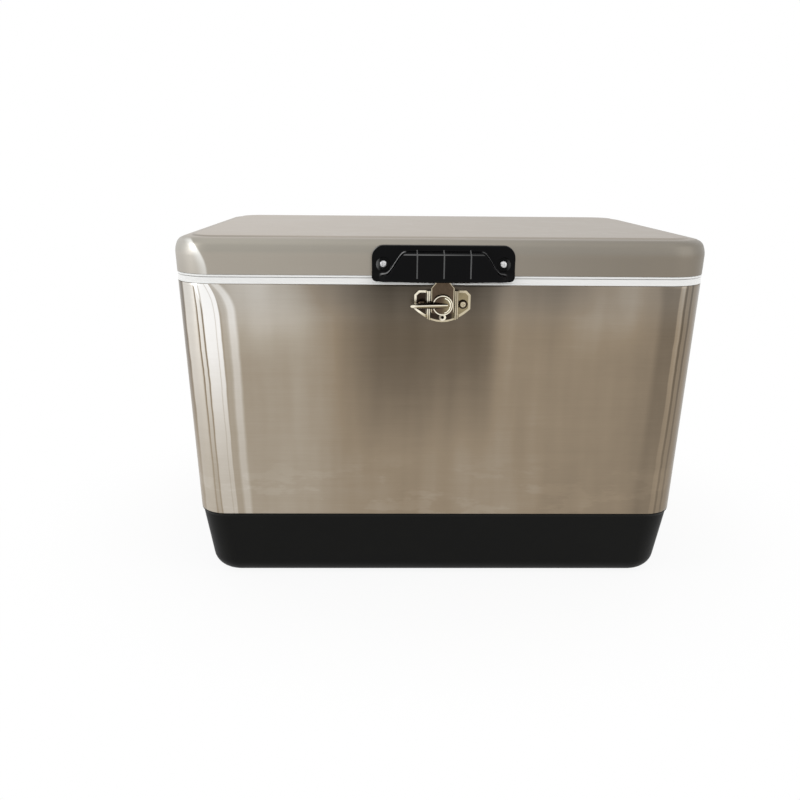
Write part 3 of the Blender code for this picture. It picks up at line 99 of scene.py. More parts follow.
def softPath(points, steps=4, guard=0.0):
    # (a, b, radius) corners to a run of points with round corners; guard keeps the flats flat
    run = []
    for index, (a, b, radius) in enumerate(points):
        here = Vector((a, b))
        if radius <= 0 or index in (0, len(points) - 1):
            run.append(here)
            continue
        back = Vector(points[index - 1][:2]) - here
        ahead = Vector(points[index + 1][:2]) - here
        turn = math.pi - back.angle(ahead)
        reach = min(radius * math.tan(turn / 2), back.length * 0.49, ahead.length * 0.49)
        start, end = here + back.normalized() * reach, here + ahead.normalized() * reach
        if guard:
            run.append(start + back.normalized() * min(guard, back.length * 0.3 - reach * 0.3))
        for step in range(steps + 1):
            share = step / steps
            run.append(start * (1 - share) ** 2 + here * 2 * share * (1 - share) + end * share**2)
        if guard:
            run.append(end + ahead.normalized() * min(guard, ahead.length * 0.3 - reach * 0.3))
    return run


# mesh helpers, all on bmesh operators
def roundLoop(bm, halfX, halfY, radius, height):
    # a grid quad with its corners rounded by a vertex bevel, kept as an open loop of edges
    verts = bmesh.ops.create_grid(bm, x_segments=1, y_segments=1, size=1.0)["verts"]
    bmesh.ops.scale(bm, vec=(halfX, halfY, 1.0), verts=verts)
    bmesh.ops.translate(bm, vec=(0.0, chest["middle"], height), verts=verts)
    bmesh.ops.bevel(
        bm, geom=verts, offset=radius, offset_type="OFFSET", segments=chest["cornerSteps"],
        profile=0.5, affect="VERTICES", material=-1,
    )
    face = bm.faces[:][-1]
    edges = face.edges[:]
    bmesh.ops.delete(bm, geom=[face], context="FACES_ONLY")
    return edges


def stackRings(rings, capFirst=False, capLast=False):
    # rings joined one to the next; a cap gets a border so that it stays flat
    bm = bmesh.new()
    loops = []
    before, lift = -100.0, 0.0
    for halfX, halfY, radius, height in rings:
        lift = lift + 0.02 if abs(height - before) < 0.01 else 0.0  # bridging needs some height
        loops.append(roundLoop(bm, halfX, halfY, radius, height + lift))
        before = height
    for low, high in zip(loops, loops[1:]):
        bmesh.ops.bridge_loops(bm, edges=low + high)
    for wanted, loop in ((capFirst, loops[0]), (capLast, loops[-1])):
        if wanted:
            made = bmesh.ops.edgeloop_fill(bm, edges=loop)["faces"]
            bmesh.ops.inset_individual(bm, faces=made, thickness=2.5, depth=0.0, use_even_offset=True)
    return bm


def flankCuts(bm, spare=3.0, corner=None):
    # narrow bands beside the round corners keep the long flats flat in the shading
    radius = chest["corner"] if corner is None else corner
    acrossX = chest["halfWidth"] - radius - spare
    acrossY = chest["halfDepth"] - radius - spare
    for sign in (-1, 1):
        for place, normal in (
            ((sign * acrossX, 0, 0), (1, 0, 0)),
            ((0, chest["middle"] + sign * acrossY, 0), (0, 1, 0)),
        ):
            bmesh.ops.bisect_plane(
                bm, geom=bm.verts[:] + bm.edges[:] + bm.faces[:], plane_co=place, plane_no=normal, dist=0.001
            )


def turnedMesh(profile, steps=48, closed=False):
    # the profile is (radius, out); it is spun a full turn about the outward axis
    bm = bmesh.new()
    verts = [bm.verts.new((radius, -out, 0.0)) for radius, out in profile]
    edges = [bm.edges.new(pair) for pair in zip(verts, verts[1:])]
    if closed:
        edges.append(bm.edges.new((verts[-1], verts[0])))
    bmesh.ops.spin(
        bm, geom=verts + edges, cent=(0, 0, 0), axis=(0, -1, 0), angle=math.tau, steps=steps, use_merge=True
    )
    bmesh.ops.remove_doubles(bm, verts=bm.verts, dist=0.0005)
    return bm



def loftLoops(bm, sections):
    # closed sections, each a list of points, bridged one to the next
    loops = []
    for points in sections:
        verts = [bm.verts.new(point) for point in points]
        loops.append([bm.edges.new(pair) for pair in zip(verts, verts[1:] + verts[:1])])
    for low, high in zip(loops, loops[1:]):
        bmesh.ops.bridge_loops(bm, edges=low + high)
    for loop in (loops[0], loops[-1]):
        bmesh.ops.edgeloop_fill(bm, edges=loop)
    return bm


def addSlab(bm, points, back, front, edge=0.0, steps=2):
    # an outline of (along, up) points made a face, extruded outwards, its front edge rounded
    verts = [bm.verts.new((along, -back, up)) for along, up in points]
    face = bm.faces.new(verts)
    grown = bmesh.ops.extrude_face_region(bm, geom=[face])["geom"]
    lifted = [item for item in grown if isinstance(item, bmesh.types.BMVert)]
    bmesh.ops.translate(bm, verts=lifted, vec=(0.0, back - front, 0.0))
    if edge:
        rim = [item for item in grown if isinstance(item, bmesh.types.BMEdge)]
        bmesh.ops.bevel(
            bm, geom=rim, offset=edge, offset_type="OFFSET", segments=steps, profile=0.5,
            affect="EDGES", material=-1, clamp_overlap=True,
        )
    return bm


def smoothStep(value):
    share = min(max(value, 0.0), 1.0)
    return share * share * (3 - 2 * share)


def cylinder(radius, low, high, steps=48):
    return turnedMesh([(0.0, low), (radius, low), (radius, high), (0.0, high)], steps)


def wavyRing(radius, depth, waves, out, steps):
    points = []
    for step in range(steps):
        angle = math.tau * step / steps
        reach = radius + depth * math.cos(waves * angle)
        points.append((reach * math.cos(angle), -out, reach * math.sin(angle)))
    return points


def roundBar(halfX, halfZ, radius, steps=6):
    # (along, up) points of a rounded rectangle
    points = []
    for quarter, (sideX, sideZ) in enumerate(((1, 1), (-1, 1), (-1, -1), (1, -1))):
        for step in range(steps + 1):
            angle = (quarter + step / steps) * math.pi / 2
            points.append((
                sideX * (halfX - radius) + radius * math.cos(angle),
                sideZ * (halfZ - radius) + radius * math.sin(angle),
            ))
    return points


def dropped(bm, name):
    # a bare mesh of this bmesh, with its normals set outwards
    bmesh.ops.remove_doubles(bm, verts=bm.verts, dist=0.0005)
    bmesh.ops.recalc_face_normals(bm, faces=bm.faces)
    mesh = bpy.data.meshes.new(name)
    bm.to_mesh(mesh)
    bm.free()
    return mesh


def joinInto(bm, other):
    spare = dropped(other, "spare")
    bm.from_mesh(spare)
    bpy.data.meshes.remove(spare)


def settle(piece, smooth):
    piece.data.shade_smooth()
    piece.data.set_sharp_from_angle(angle=math.radians(smooth))


def makePiece(name, bm, finish, body, nodes, matrix=None, smooth=32.0):
    if matrix is not None:
        bmesh.ops.transform(bm, matrix=matrix, verts=bm.verts)
    bmesh.ops.remove_doubles(bm, verts=bm.verts, dist=0.0005)
    bmesh.ops.scale(bm, vec=(millimetre,) * 3, verts=bm.verts)
    bmesh.ops.recalc_face_normals(bm, faces=bm.faces)
    mesh = bpy.data.meshes.new(name)
    bm.to_mesh(mesh)
    bm.free()
    piece = bpy.data.objects.new(name, mesh)
    bpy.context.scene.collection.objects.link(piece)
    mesh.materials.append(finish)
    settle(piece, smooth)
    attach(piece, body)
    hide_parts(*nodes)
    return piece


def dress(name, bm, slotName, body, node, matrix=None, smooth=32.0, finish=None):
    # one piece for one node, in its slot's finish or one of its own
    return makePiece(name, bm, finishes[finish or slotName], body, [node], matrix, smooth)


def bakeModifiers(piece, smooth=32.0):
    # the evaluated shape becomes the piece's mesh
    depsgraph = bpy.context.evaluated_depsgraph_get()
    depsgraph.update()
    mesh = bpy.data.meshes.new_from_object(piece.evaluated_get(depsgraph), depsgraph=depsgraph)
    piece.modifiers.clear()
    piece.data = mesh
    settle(piece, smooth)


def carve(piece, cutters, matrix=None, joined=False, smooth=32.0):
    # takes each cutter away from the piece, or joins it on
    spares = []
    for bm in cutters:
        if matrix is not None:
            bmesh.ops.transform(bm, matrix=matrix, verts=bm.verts)
        mesh = dropped(bm, "cutter")
        mesh.transform(Matrix.Scale(millimetre, 4))
        spare = bpy.data.objects.new("cutter", mesh)
        bpy.context.scene.collection.objects.link(spare)
        modifier = piece.modifiers.new("carve", "BOOLEAN")
        modifier.operation = "UNION" if joined else "DIFFERENCE"
        modifier.solver = "EXACT"
        modifier.object = spare
        spares.append(spare)
    bpy.context.view_layer.update()
    bakeModifiers(piece, smooth)
    for spare in spares:
        bpy.data.objects.remove(spare)


def thicken(piece, wall, edge=0.0):
    solid = piece.modifiers.new("wall", "SOLIDIFY")
    solid.thickness = wall * millimetre
    solid.offset = -1.0
    solid.use_even_offset = True
    if edge:
        bevel = piece.modifiers.new("edge", "BEVEL")
        bevel.width = edge * millimetre
        bevel.segments = 2
        bevel.limit_method = "ANGLE"
        bevel.angle_limit = math.radians(40)
        bevel.use_clamp_overlap = True


# shared node groups
def noiseNode(tree, vector, scale, detail=2.0, roughness=0.5, distortion=0.0):
    node = tree.nodes.new("ShaderNodeTexNoise")
    node.inputs["Detail"].default_value = detail
    node.inputs["Roughness"].default_value = roughness
    node.inputs["Distortion"].default_value = distortion
    tree.links.new(vector, node.inputs["Vector"])
    if isinstance(scale, (int, float)):
        node.inputs["Scale"].default_value = scale
    else:
        tree.links.new(scale, node.inputs["Scale"])
    return node


def mathNode(tree, operation, first, second=None, third=None):
    node = tree.nodes.new("ShaderNodeMath")
    node.operation = operation
    for index, value in enumerate((first, second, third)):
        if value is None:
            continue
        if isinstance(value, (int, float)):
            node.inputs[index].default_value = value
        else:
            tree.links.new(value, node.inputs[index])
    return node.outputs[0]


def chained(tree, operation, values):
    total = values[0]
    for value in values[1:]:
        total = mathNode(tree, operation, total, value)
    return total


def times(tree, *values):
    return chained(tree, "MULTIPLY", values)


def largest(tree, *values):
    return chained(tree, "MAXIMUM", values)


def minus(tree, first, second):
    return mathNode(tree, "SUBTRACT", first, second)


def unsigned(tree, value):
    return mathNode(tree, "ABSOLUTE", value)


def scaled(tree, value, factor, start):
    # the value times a factor, added to a start
    return mathNode(tree, "MULTIPLY_ADD", value, factor, start)


def rangeNode(tree, value, fromLow, fromHigh, toLow=0.0, toHigh=1.0, kind="SMOOTHSTEP"):
    node = tree.nodes.new("ShaderNodeMapRange")
    node.interpolation_type = kind
    tree.links.new(value, node.inputs["Value"])
    for name, number in (
        ("From Min", fromLow), ("From Max", fromHigh), ("To Min", toLow), ("To Max", toHigh),
    ):
        node.inputs[name].default_value = number
    return node.outputs["Result"]


def fadeIn(tree, value, span, start=0.0):
    # 0 before the span, 1 after it
    return rangeNode(tree, value, start + span[0], start + span[1])


def fadeOut(tree, value, span, start=0.0):
    return rangeNode(tree, value, start + span[0], start + span[1], 1.0, 0.0)


def mixColours(tree, factor, first, second):
    node = tree.nodes.new("ShaderNodeMix")
    node.data_type = "RGBA"
    for socket, value in ((node.inputs[0], factor), (node.inputs[6], first), (node.inputs[7], second)):
        if isinstance(value, (int, float)):
            socket.default_value = value
        elif isinstance(value, tuple):
            socket.default_value = (*value, 1.0)
        else:
            tree.links.new(value, socket)
    return node.outputs[2]


def rampNode(tree, value, stops):
    node = tree.nodes.new("ShaderNodeValToRGB")
    ramp = node.color_ramp
    ramp.interpolation = "LINEAR"
    while len(ramp.elements) > 1:
        ramp.elements.remove(ramp.elements[-1])
    for index, (place, colour) in enumerate(stops):
        element = ramp.elements[0] if index == 0 else ramp.elements.new(place)
        element.position = place
        element.color = (*colour, 1.0)
    tree.links.new(value, node.inputs["Fac"])
    return node.outputs["Color"]


def bumpNode(tree, height, strength, distance):
    node = tree.nodes.new("ShaderNodeBump")
    node.inputs["Strength"].default_value = strength
    node.inputs["Distance"].default_value = distance
    tree.links.new(height, node.inputs["Height"])
    return node.outputs["Normal"]


def stretched(tree, vector, scale):
    node = tree.nodes.new("ShaderNodeMapping")
    node.inputs["Scale"].default_value = scale
    tree.links.new(vector, node.inputs["Vector"])
    return node.outputs["Vector"]


def openGroup(name, given, made):
    # a node group that takes a vector and one number and gives out two numbers
    group = bpy.data.node_groups.new(name, "ShaderNodeTree")
    group.interface.new_socket("Vector", in_out="INPUT", socket_type="NodeSocketVector")
    number = group.interface.new_socket(given[0], in_out="INPUT", socket_type="NodeSocketFloat")
    number.default_value = given[1]
    for socketName in made:
        group.interface.new_socket(socketName, in_out="OUTPUT", socket_type="NodeSocketFloat")
    return group, group.nodes.new("NodeGroupInput").outputs, group.nodes.new("NodeGroupOutput").inputs


# hairline grain of brushed or rolled sheet, running level round the chest
def buildSheetGrain():
    group, given, put = openGroup("sheetGrain", ("Fineness", 900.0), ("Streak", "Cloud"))
    hairPlace = stretched(group, given["Vector"], (0.02, 0.02, 1.0))
    hair = noiseNode(group, hairPlace, given["Fineness"], 3.0, 0.65)
    broad = noiseNode(group, stretched(group, given["Vector"], (0.06, 0.06, 1.0)), 120.0, 2.0, 0.5)
    both = scaled(group, broad.outputs["Fac"], 0.4, times(group, hair.outputs["Fac"], 0.6))
    cloud = noiseNode(group, given["Vector"], 9.0, 3.0, 0.6, 0.6)
    group.links.new(both, put["Streak"])
    group.links.new(cloud.outputs["Fac"], put["Cloud"])
    return group


# fine spark-eroded grain of moulded plastic, with faint flow marks
def buildMouldGrain():
    group, given, put = openGroup("mouldGrain", ("Grain Scale", 1800.0), ("Height", "Mottle"))
    grain = noiseNode(group, given["Vector"], given["Grain Scale"], 2.0, 0.6)
    flow = noiseNode(group, given["Vector"], 22.0, 4.0, 0.55, 0.8)
    group.links.new(grain.outputs["Fac"], put["Height"])
    group.links.new(flow.outputs["Fac"], put["Mottle"])
    return group


# handling marks: thin scattered scuffs and finger smudges
def buildHandMarks():
    group, given, put = openGroup("handMarks", ("Amount", 0.5), ("Scuff", "Smudge"))
    lines = noiseNode(group, stretched(group, given["Vector"], (1.0, 1.0, 0.05)), 260.0, 2.0, 0.55, 0.2)
    thin = rangeNode(group, lines.outputs["Fac"], 0.69, 0.76)
    patch = rangeNode(group, noiseNode(group, given["Vector"], 7.0, 2.0).outputs["Fac"], 0.5, 0.68)
    scuff = times(group, thin, patch, given["Amount"])
    prints = noiseNode(group, given["Vector"], 26.0, 3.0, 0.6, 1.2).outputs["Fac"]
    smudge = rangeNode(group, prints, 0.46, 0.72)
    group.links.new(scuff, put["Scuff"])
    group.links.new(times(group, smudge, given["Amount"]), put["Smudge"])
    return group


groups = {"sheetGrain": buildSheetGrain(), "mouldGrain": buildMouldGrain(), "handMarks": buildHandMarks()}


def placeGroup(tree, name, vector, **values):
    node = tree.nodes.new("ShaderNodeGroup")
    node.node_tree = groups[name]
    tree.links.new(vector, node.inputs["Vector"])
    for socketName, value in values.items():
        node.inputs[socketName].default_value = value
    return node.outputs


def startMaterial(name, metallic=0.0, roughness=0.5, **constants):
    made = bpy.data.materials.new(name)
    made.use_nodes = True
    tree = made.node_tree
    shader = tree.nodes["Principled BSDF"]
    shader.inputs["Metallic"].default_value = metallic
    shader.inputs["Roughness"].default_value = roughness
    for socketName, value in constants.items():
        shader.inputs[socketName].default_value = value
    place = tree.nodes.new("ShaderNodeTexCoord").outputs["Object"]
    return made, tree, shader, place


def wire(tree, shader, base, rough, normal):
    for socketName, value in (("Base Color", base), ("Roughness", rough), ("Normal", normal)):
        if value is not None:
            tree.links.new(value, shader.inputs[socketName])


def tinted(tree, colour, factor, amount):
    # the colour lightened and darkened by a factor round 0.5
    shift = scaled(tree, factor, amount, 1.0 - amount / 2)
    node = tree.nodes.new("ShaderNodeVectorMath")
    node.operation = "SCALE"
    if isinstance(colour, tuple):
        node.inputs[0].default_value = colour
    else:
        tree.links.new(colour, node.inputs[0])
    tree.links.new(shift, node.inputs["Scale"])
    return node.outputs["Vector"]


def axes(tree, vector):
    node = tree.nodes.new("ShaderNodeSeparateXYZ")
    tree.links.new(vector, node.inputs[0])
    return node.outputs


def tone(red, green, blue):
    # a screen colour, 0 to 255, as the linear colour that sockets take
    return tuple(((part / 255 + 0.055) / 1.055) ** 2.4 for part in (red, green, blue))


def softBand(tree, value, place, half, core=0.3):
    # 1 along a stripe, falling to 0 at its half width
    gap = unsigned(tree, minus(tree, value, place))
    return rangeNode(tree, gap, half * core, half, 1.0, 0.0)


def wallAxes(tree, place, height):
    # along, out and up from a place on the front wall, in millimetres
    node = tree.nodes.new("ShaderNodeMapping")
    node.vector_type = "TEXTURE"
    node.inputs["Location"].default_value = site("front", height).translation * millimetre
    node.inputs["Rotation"].default_value = (wallLean, 0.0, 0.0)
    node.inputs["Scale"].default_value = (millimetre,) * 3
    tree.links.new(place, node.inputs["Vector"])
    along, back, up = axes(tree, node.outputs["Vector"])
    return along, times(tree, back, -1.0), up


def radiusNode(tree, first, second):
    squares = [times(tree, value, value) for value in (first, second)]
    return mathNode(tree, "SQRT", mathNode(tree, "ADD", *squares))


# satin lid steel: warm grey, painted lighter on top and to the left where the light falls, with painted shade
# along the panel's step
lidPaint = {
    "top": (tone(178, 169, 158), tone(163, 154, 143)),
    "shoulder": (tone(163, 158, 148), tone(136, 130, 120)),
    "skirt": (tone(172, 165, 154), tone(134, 126, 114)),
    "shoulderStart": 0.3985,
    "shoulderEnd": 0.4095,
    "shoulderBlend": 0.0065,
    "stepHeight": 0.4112,
    "stepHalf": 0.0009,
    "stepAmount": 0.5,
    "step": tone(118, 111, 101),
    "scratch": tone(205, 199, 190),
    "scratchAmount": 0.3,
    "glint": tone(253, 253, 249),
    "glintPlace": -0.2564,  # its sharp edge at the skirt's foot
    "glintBend": 25.0,
    "glintCurve": 2.2,
    "glintEdge": 0.003,
    "glintCore": 0.014,
    "glintTail": 0.06,
    "grainShade": 0.06,
    "cloudShade": 0.08,
    "roughness": 0.36,
    "cloudRough": 0.10,
    "smudgeRough": -0.05,
}


def lidGlint(tree, x, y, z):
    # the lamp's glint on the left corner: sharp to the right, fading out to the left
    p = lidPaint
    rise = minus(tree, z, chest["measuredAt"] * millimetre)
    bend = mathNode(tree, "POWER", largest(tree, rise, 0.0), p["glintCurve"])
    past = minus(tree, scaled(tree, bend, -p["glintBend"], p["glintPlace"]), x)
    core = rangeNode(tree, past, p["glintEdge"], p["glintCore"], 0.5, 0.0)
    glint = mathNode(tree, "ADD", core, rangeNode(tree, past, 0.0, p["glintTail"], 0.24, 0.10))
    return times(
        tree, glint,
        rangeNode(tree, past, 0.0, p["glintEdge"]),
        rangeNode(tree, rise, 0.0, 0.028, 0.6, 1.0),
        rangeNode(tree, y, -0.10, -0.165),
        rangeNode(tree, z, p["shoulderEnd"] + 0.001, p["shoulderEnd"] - 0.003),
    )


def lidSteelMaterial():
    p = lidPaint
    made, tree, shader, place = startMaterial("lidSteel", 1.0, 0.42)
    x, y, z = axes(tree, place)
    across = rangeNode(tree, x, -0.3, 0.3)
    skirt, shoulder, top = (mixColours(tree, across, *p[name]) for name in ("skirt", "shoulder", "top"))
    low = rangeNode(tree, z, p["shoulderStart"] - p["shoulderBlend"], p["shoulderStart"])
    high = rangeNode(tree, z, p["shoulderEnd"] - 0.001, p["stepHeight"] + 0.0004)
    base = mixColours(tree, high, mixColours(tree, low, skirt, shoulder), top)
    # painted shade along the panel's step, stronger to the left
    step = softBand(tree, z, p["stepHeight"], p["stepHalf"])
    step = times(tree, step, rangeNode(tree, x, -0.10, -0.27, 0.3, 1.0), p["stepAmount"])
    base = mixColours(tree, step, base, p["step"])
    base = mixColours(tree, lidGlint(tree, x, y, z), base, p["glint"])
    grain = placeGroup(tree, "sheetGrain", place, Fineness=1400.0)
    marks = placeGroup(tree, "handMarks", place, Amount=0.6)
    base = tinted(tree, base, grain["Streak"], p["grainShade"])
    base = tinted(tree, base, grain["Cloud"], p["cloudShade"])
    base = mixColours(tree, times(tree, marks["Scuff"], p["scratchAmount"]), base, p["scratch"])
    rough = scaled(tree, grain["Cloud"], p["cloudRough"], p["roughness"])
    rough = scaled(tree, marks["Smudge"], p["smudgeRough"], rough)
    wire(tree, shader, base, rough, bumpNode(tree, grain["Streak"], 0.08, 0.0002))
    return made


# brushed belt with painted reflections: its shade runs from 0, dark, to 1, white; each painted band is
# (place across the wall, half width, strength at the foot, strength at the top, core, bend at the top)
beltPaint = {
    "tones": [
        (0.30, tone(78, 68, 54)), (0.45, tone(115, 103, 88)), (0.58, tone(149, 134, 114)),
        (0.70, tone(178, 168, 153)), (0.85, tone(218, 212, 203)), (1.0, tone(252, 250, 247)),
    ],
    "coolTones": [  # greyer, towards the rim
        (0.30, tone(77, 73, 68)), (0.58, tone(148, 141, 131)),
        (0.85, tone(216, 214, 209)), (1.0, tone(251, 251, 250)),
    ],
    "front": {
        "left": 0.660, "right": 0.515,
        "bands": [
            (-0.08, 0.40, -0.01, -0.17, 0.45, 0.0), (-0.16, 0.16, -0.01, -0.04, 0.2, 0.0),
            (0.24, 0.07, 0.01, 0.04, 0.2, 0.0), (0.62, 0.22, 0.01, 0.02, 0.3, 0.0),
            (0.28, 0.30, 0.03, 0.00, 0.2, 0.0), (-0.70, 0.12, 0.0, 0.02, 0.3, 0.3),
            (0.865, 0.060, -0.03, -0.07, 0.4, 0.3), (0.897, 0.013, 0.04, 0.13, 0.5, 0.0),
            (0.914, 0.006, -0.06, -0.12, 0.5, 0.0), (0.940, 0.006, -0.06, -0.12, 0.5, 0.0),
            (-0.784, 0.024, 0.09, 0.19, 0.3, 1.0), (-0.812, 0.012, 0.0, 0.05, 0.6, 1.0),
            (-0.860, 0.034, 0.10, 0.34, 0.85, 0.6), (-0.846, 0.003, -0.04, -0.12, 0.3, 0.6),
            (-0.892, 0.004, -0.05, -0.18, 0.4, 0.2), (-0.904, 0.008, 0.04, 0.26, 0.7, 0.1),
            (-0.914, 0.003, -0.03, -0.14, 0.4, 0.1), (-0.943, 0.028, 0.08, 0.20, 0.75, 0.0),
            (-0.980, 0.014, -0.03, -0.20, 0.5, 0.0),
        ],
        # the crown: painted highlights near the top of the wall
        "crown": [(-0.64, 0.22, 0.09, 0.3), (0.64, 0.22, 0.05, 0.3)],  # place, half width, strength, core
    },
    "side": {
        "left": 0.56, "right": 0.62,
        "bands": [
            (-0.88, 0.09, 0.04, 0.14, 0.3, 0.0), (-0.70, 0.10, -0.02, -0.07, 0.3, 0.0),
            (-0.25, 0.45, -0.01, -0.10, 0.1, 0.0), (0.38, 0.18, 0.02, 0.08, 0.2, 0.0),
            (0.80, 0.06, -0.04, -0.10, 0.4, 0.0), (0.90, 0.05, 0.08, 0.20, 0.4, 0.0),
        ],
        "crown": [],
    },
    "footHeight": 0.12,
    "topHeight": 0.33,
    "arch": 0.055,
    "crownStart": 0.265,
    "crownEnd": 0.325,
    "rimShade": -0.09,
    "archStart": 0.325,
    "archEnd": 0.362,
    "archCurve": 2.4,
    "wander": 0.02,
    "sideStart": 0.180,  # depth from the walls' middle where the front's paint takes over
    "sideEnd": 0.160,
    "streakShade": 0.05,
    "cloudShade": 0.06,
    "veilScale": (34.0, 34.0, 3.5),
    "veilShade": 0.09,
    "stainScale": (14.0, 14.0, 42.0),
    "stainFoot": 0.115,
    "stainTop": 0.175,
    "stainShade": 0.022,
    "coolStart": 0.30,
    "coolEnd": 0.355,
    "coolAmount": 0.5,
    "roughness": 0.27,
    "streakRough": 0.10,
    "smudgeRough": 0.06,
}


# the painted reflection across one wall: a painted gradient from left to right, its bands and the crown's
# painted highlights
def beltShade(tree, across, rise, crown, bend, paint):
    shade = rangeNode(tree, across, -1.0, 1.0, paint["left"], paint["right"], "LINEAR")
    for place, half, foot, top, core, lean in paint["bands"]:
        value = scaled(tree, bend, lean, across) if lean else across
        strength = scaled(tree, rise, top - foot, foot)
        shade = scaled(tree, softBand(tree, value, place, half, core), strength, shade)
    for place, half, strength, core in paint["crown"]:
        stripe = times(tree, softBand(tree, across, place, half, core), crown)
        shade = scaled(tree, stripe, strength, shade)
    return shade


def shadeBy(tree, shade, noise, amount):
    # the shade moved up and down by a noise round 0.5
    return scaled(tree, noise, amount, minus(tree, shade, amount / 2))


def beltSteelMaterial():
    p = beltPaint
    made, tree, shader, place = startMaterial(
        "beltSteel", 1.0, 0.33, Anisotropic=0.65, **{"Anisotropic Rotation": 0.25}
    )
    x, y, z = axes(tree, place)
    grain = placeGroup(tree, "sheetGrain", place, Fineness=1100.0)
    marks = placeGroup(tree, "handMarks", place, Amount=0.4)
    lean = times(tree, minus(tree, z, chest["measuredAt"] * millimetre), chest["slope"])
    wander = scaled(tree, grain["Cloud"], p["wander"], -p["wander"] / 2)
    climb = rangeNode(tree, z, p["archStart"], p["archEnd"], 0.0, 1.0, "LINEAR")
    arch = times(tree, mathNode(tree, "POWER", climb, p["archCurve"]), p["arch"])
    rise = rangeNode(tree, z, p["footHeight"], p["topHeight"])
    crown = rangeNode(tree, z, p["crownStart"], p["crownEnd"])
    shades = []
    for value, half, middle, name in (
        (x, chest["halfWidth"], 0.0, "front"), (y, chest["halfDepth"], chest["middle"], "side"),
    ):
        reach = mathNode(tree, "ADD", lean, half * millimetre)
        across = mathNode(tree, "DIVIDE", minus(tree, value, middle * millimetre), reach)
        across = mathNode(tree, "ADD", across, wander)
        shade = beltShade(tree, across, rise, crown, arch, p[name])
        # painted shade under the rim, over the middle of each wall
        under = times(tree, climb, rangeNode(tree, unsigned(tree, across), 0.45, 0.72, 1.0, 0.0))
        shades.append(scaled(tree, under, p["rimShade"], shade))
    depth = unsigned(tree, minus(tree, y, chest["middle"] * millimetre))
    onSide = rangeNode(tree, depth, p["sideEnd"], p["sideStart"], 1.0, 0.0)
    shade = scaled(tree, minus(tree, shades[1], shades[0]), onSide, shades[0])
    shade = shadeBy(tree, shade, grain["Streak"], p["streakShade"])
    shade = shadeBy(tree, shade, grain["Cloud"], p["cloudShade"])
    # faint upright veils, and a few dried stains near the foot
    veil = noiseNode(tree, stretched(tree, place, p["veilScale"]), 1.0, 2.0).outputs["Fac"]
    shade = shadeBy(tree, shade, veil, p["veilShade"])
    stain = noiseNode(tree, stretched(tree, place, p["stainScale"]), 1.0, 6.0, 0.62).outputs["Fac"]
    stain = times(tree, rangeNode(tree, stain, 0.52, 0.60), rangeNode(tree, z, p["stainTop"], p["stainFoot"]))
    shade = scaled(tree, stain, p["stainShade"], shade)
    warm, cool = rampNode(tree, shade, p["tones"]), rampNode(tree, shade, p["coolTones"])
    cooled = rangeNode(tree, z, p["coolStart"], p["coolEnd"], 0.0, p["coolAmount"])
    base = mixColours(tree, cooled, warm, cool)
    rough = scaled(tree, grain["Streak"], p["streakRough"], p["roughness"])
    rough = scaled(tree, marks["Smudge"], p["smudgeRough"], rough)
    wire(tree, shader, base, rough, bumpNode(tree, grain["Streak"], 0.12, 0.0002))
    return made


# moulded finishes: colour, how far the mottle shades it, roughness and its span, grain strength
moulded = {
    "whitePlastic": {
        "colour": (0.87, 0.87, 0.855), "mottle": 0.05, "rough": 0.28, "span": 0.12, "grain": 0.06,
    },
    "blackBase": {
        "colour": (0.0065, 0.0065, 0.006), "mottle": 0.35, "rough": 0.40, "span": 0.16, "grain": 0.25,
    },
}
blackPlastic = (0.0032, 0.0032, 0.0035)
pull = {"mottle": 0.3, "scuffed": (0.06, 0.06, 0.06), "scuffAmount": 0.06, "rough": 0.16, "span": 0.10}
plating = {"cloudScale": 90.0, "pitScale": 1500.0, "pitShade": -0.3, "span": 0.14, "smudge": 0.08}
rubber = {"colour": (0.022, 0.022, 0.022), "mottle": 0.4, "rough": 0.68, "span": 0.15}
foam = {"cells": 900.0, "deep": (0.70, 0.56, 0.26), "face": (0.82, 0.70, 0.40)}


def mouldedMaterial(name, start, **constants):
    p = moulded[name]
    made, tree, shader, place = startMaterial(name, 0.0, start, **constants)
    grain = placeGroup(tree, "mouldGrain", place)
    base = tinted(tree, p["colour"], grain["Mottle"], p["mottle"])
    rough = scaled(tree, grain["Mottle"], p["span"], p["rough"])
    wire(tree, shader, base, rough, bumpNode(tree, grain["Height"], p["grain"], 0.0002))
    return made


def blackMouldingMaterial(name, colour, paint=None):
    p = pull
    made, tree, shader, place = startMaterial(name, 0.0, 0.22, **{"Specular IOR Level": 0.06})
    grain = placeGroup(tree, "mouldGrain", place)
    marks = placeGroup(tree, "handMarks", place, Amount=0.7)
    base = tinted(tree, paint(tree, place) if paint else colour, grain["Mottle"], p["mottle"])
    base = mixColours(tree, times(tree, marks["Scuff"], p["scuffAmount"]), base, p["scuffed"])
    rough = scaled(tree, marks["Smudge"], 0.08, scaled(tree, grain["Mottle"], p["span"], p["rough"]))
    wire(tree, shader, base, rough, bumpNode(tree, grain["Height"], 0.06, 0.0002))
    return made


def platedMaterial(name, colour, dark, roughness, paint=None):
    # bright plating over pressed sheet: soft clouding and tiny pits
    p = plating
    made, tree, shader, place = startMaterial(name, 1.0, roughness)
    if paint:
        colour, dark = paint(tree, place)
    cloud = noiseNode(tree, place, p["cloudScale"], 3.0, 0.6, 0.8).outputs["Fac"]
    pits = rangeNode(tree, noiseNode(tree, place, p["pitScale"], 2.0).outputs["Fac"], 0.62, 0.74)
    base = mixColours(tree, rangeNode(tree, cloud, 0.40, 0.66), colour, dark)
    base = tinted(tree, base, pits, p["pitShade"])
    marks = placeGroup(tree, "handMarks", place, Amount=0.8)
    rough = scaled(tree, marks["Smudge"], p["smudge"], scaled(tree, cloud, p["span"], roughness - 0.05))
    wire(tree, shader, base, rough, bumpNode(tree, cloud, 0.10, 0.0006))
    return made


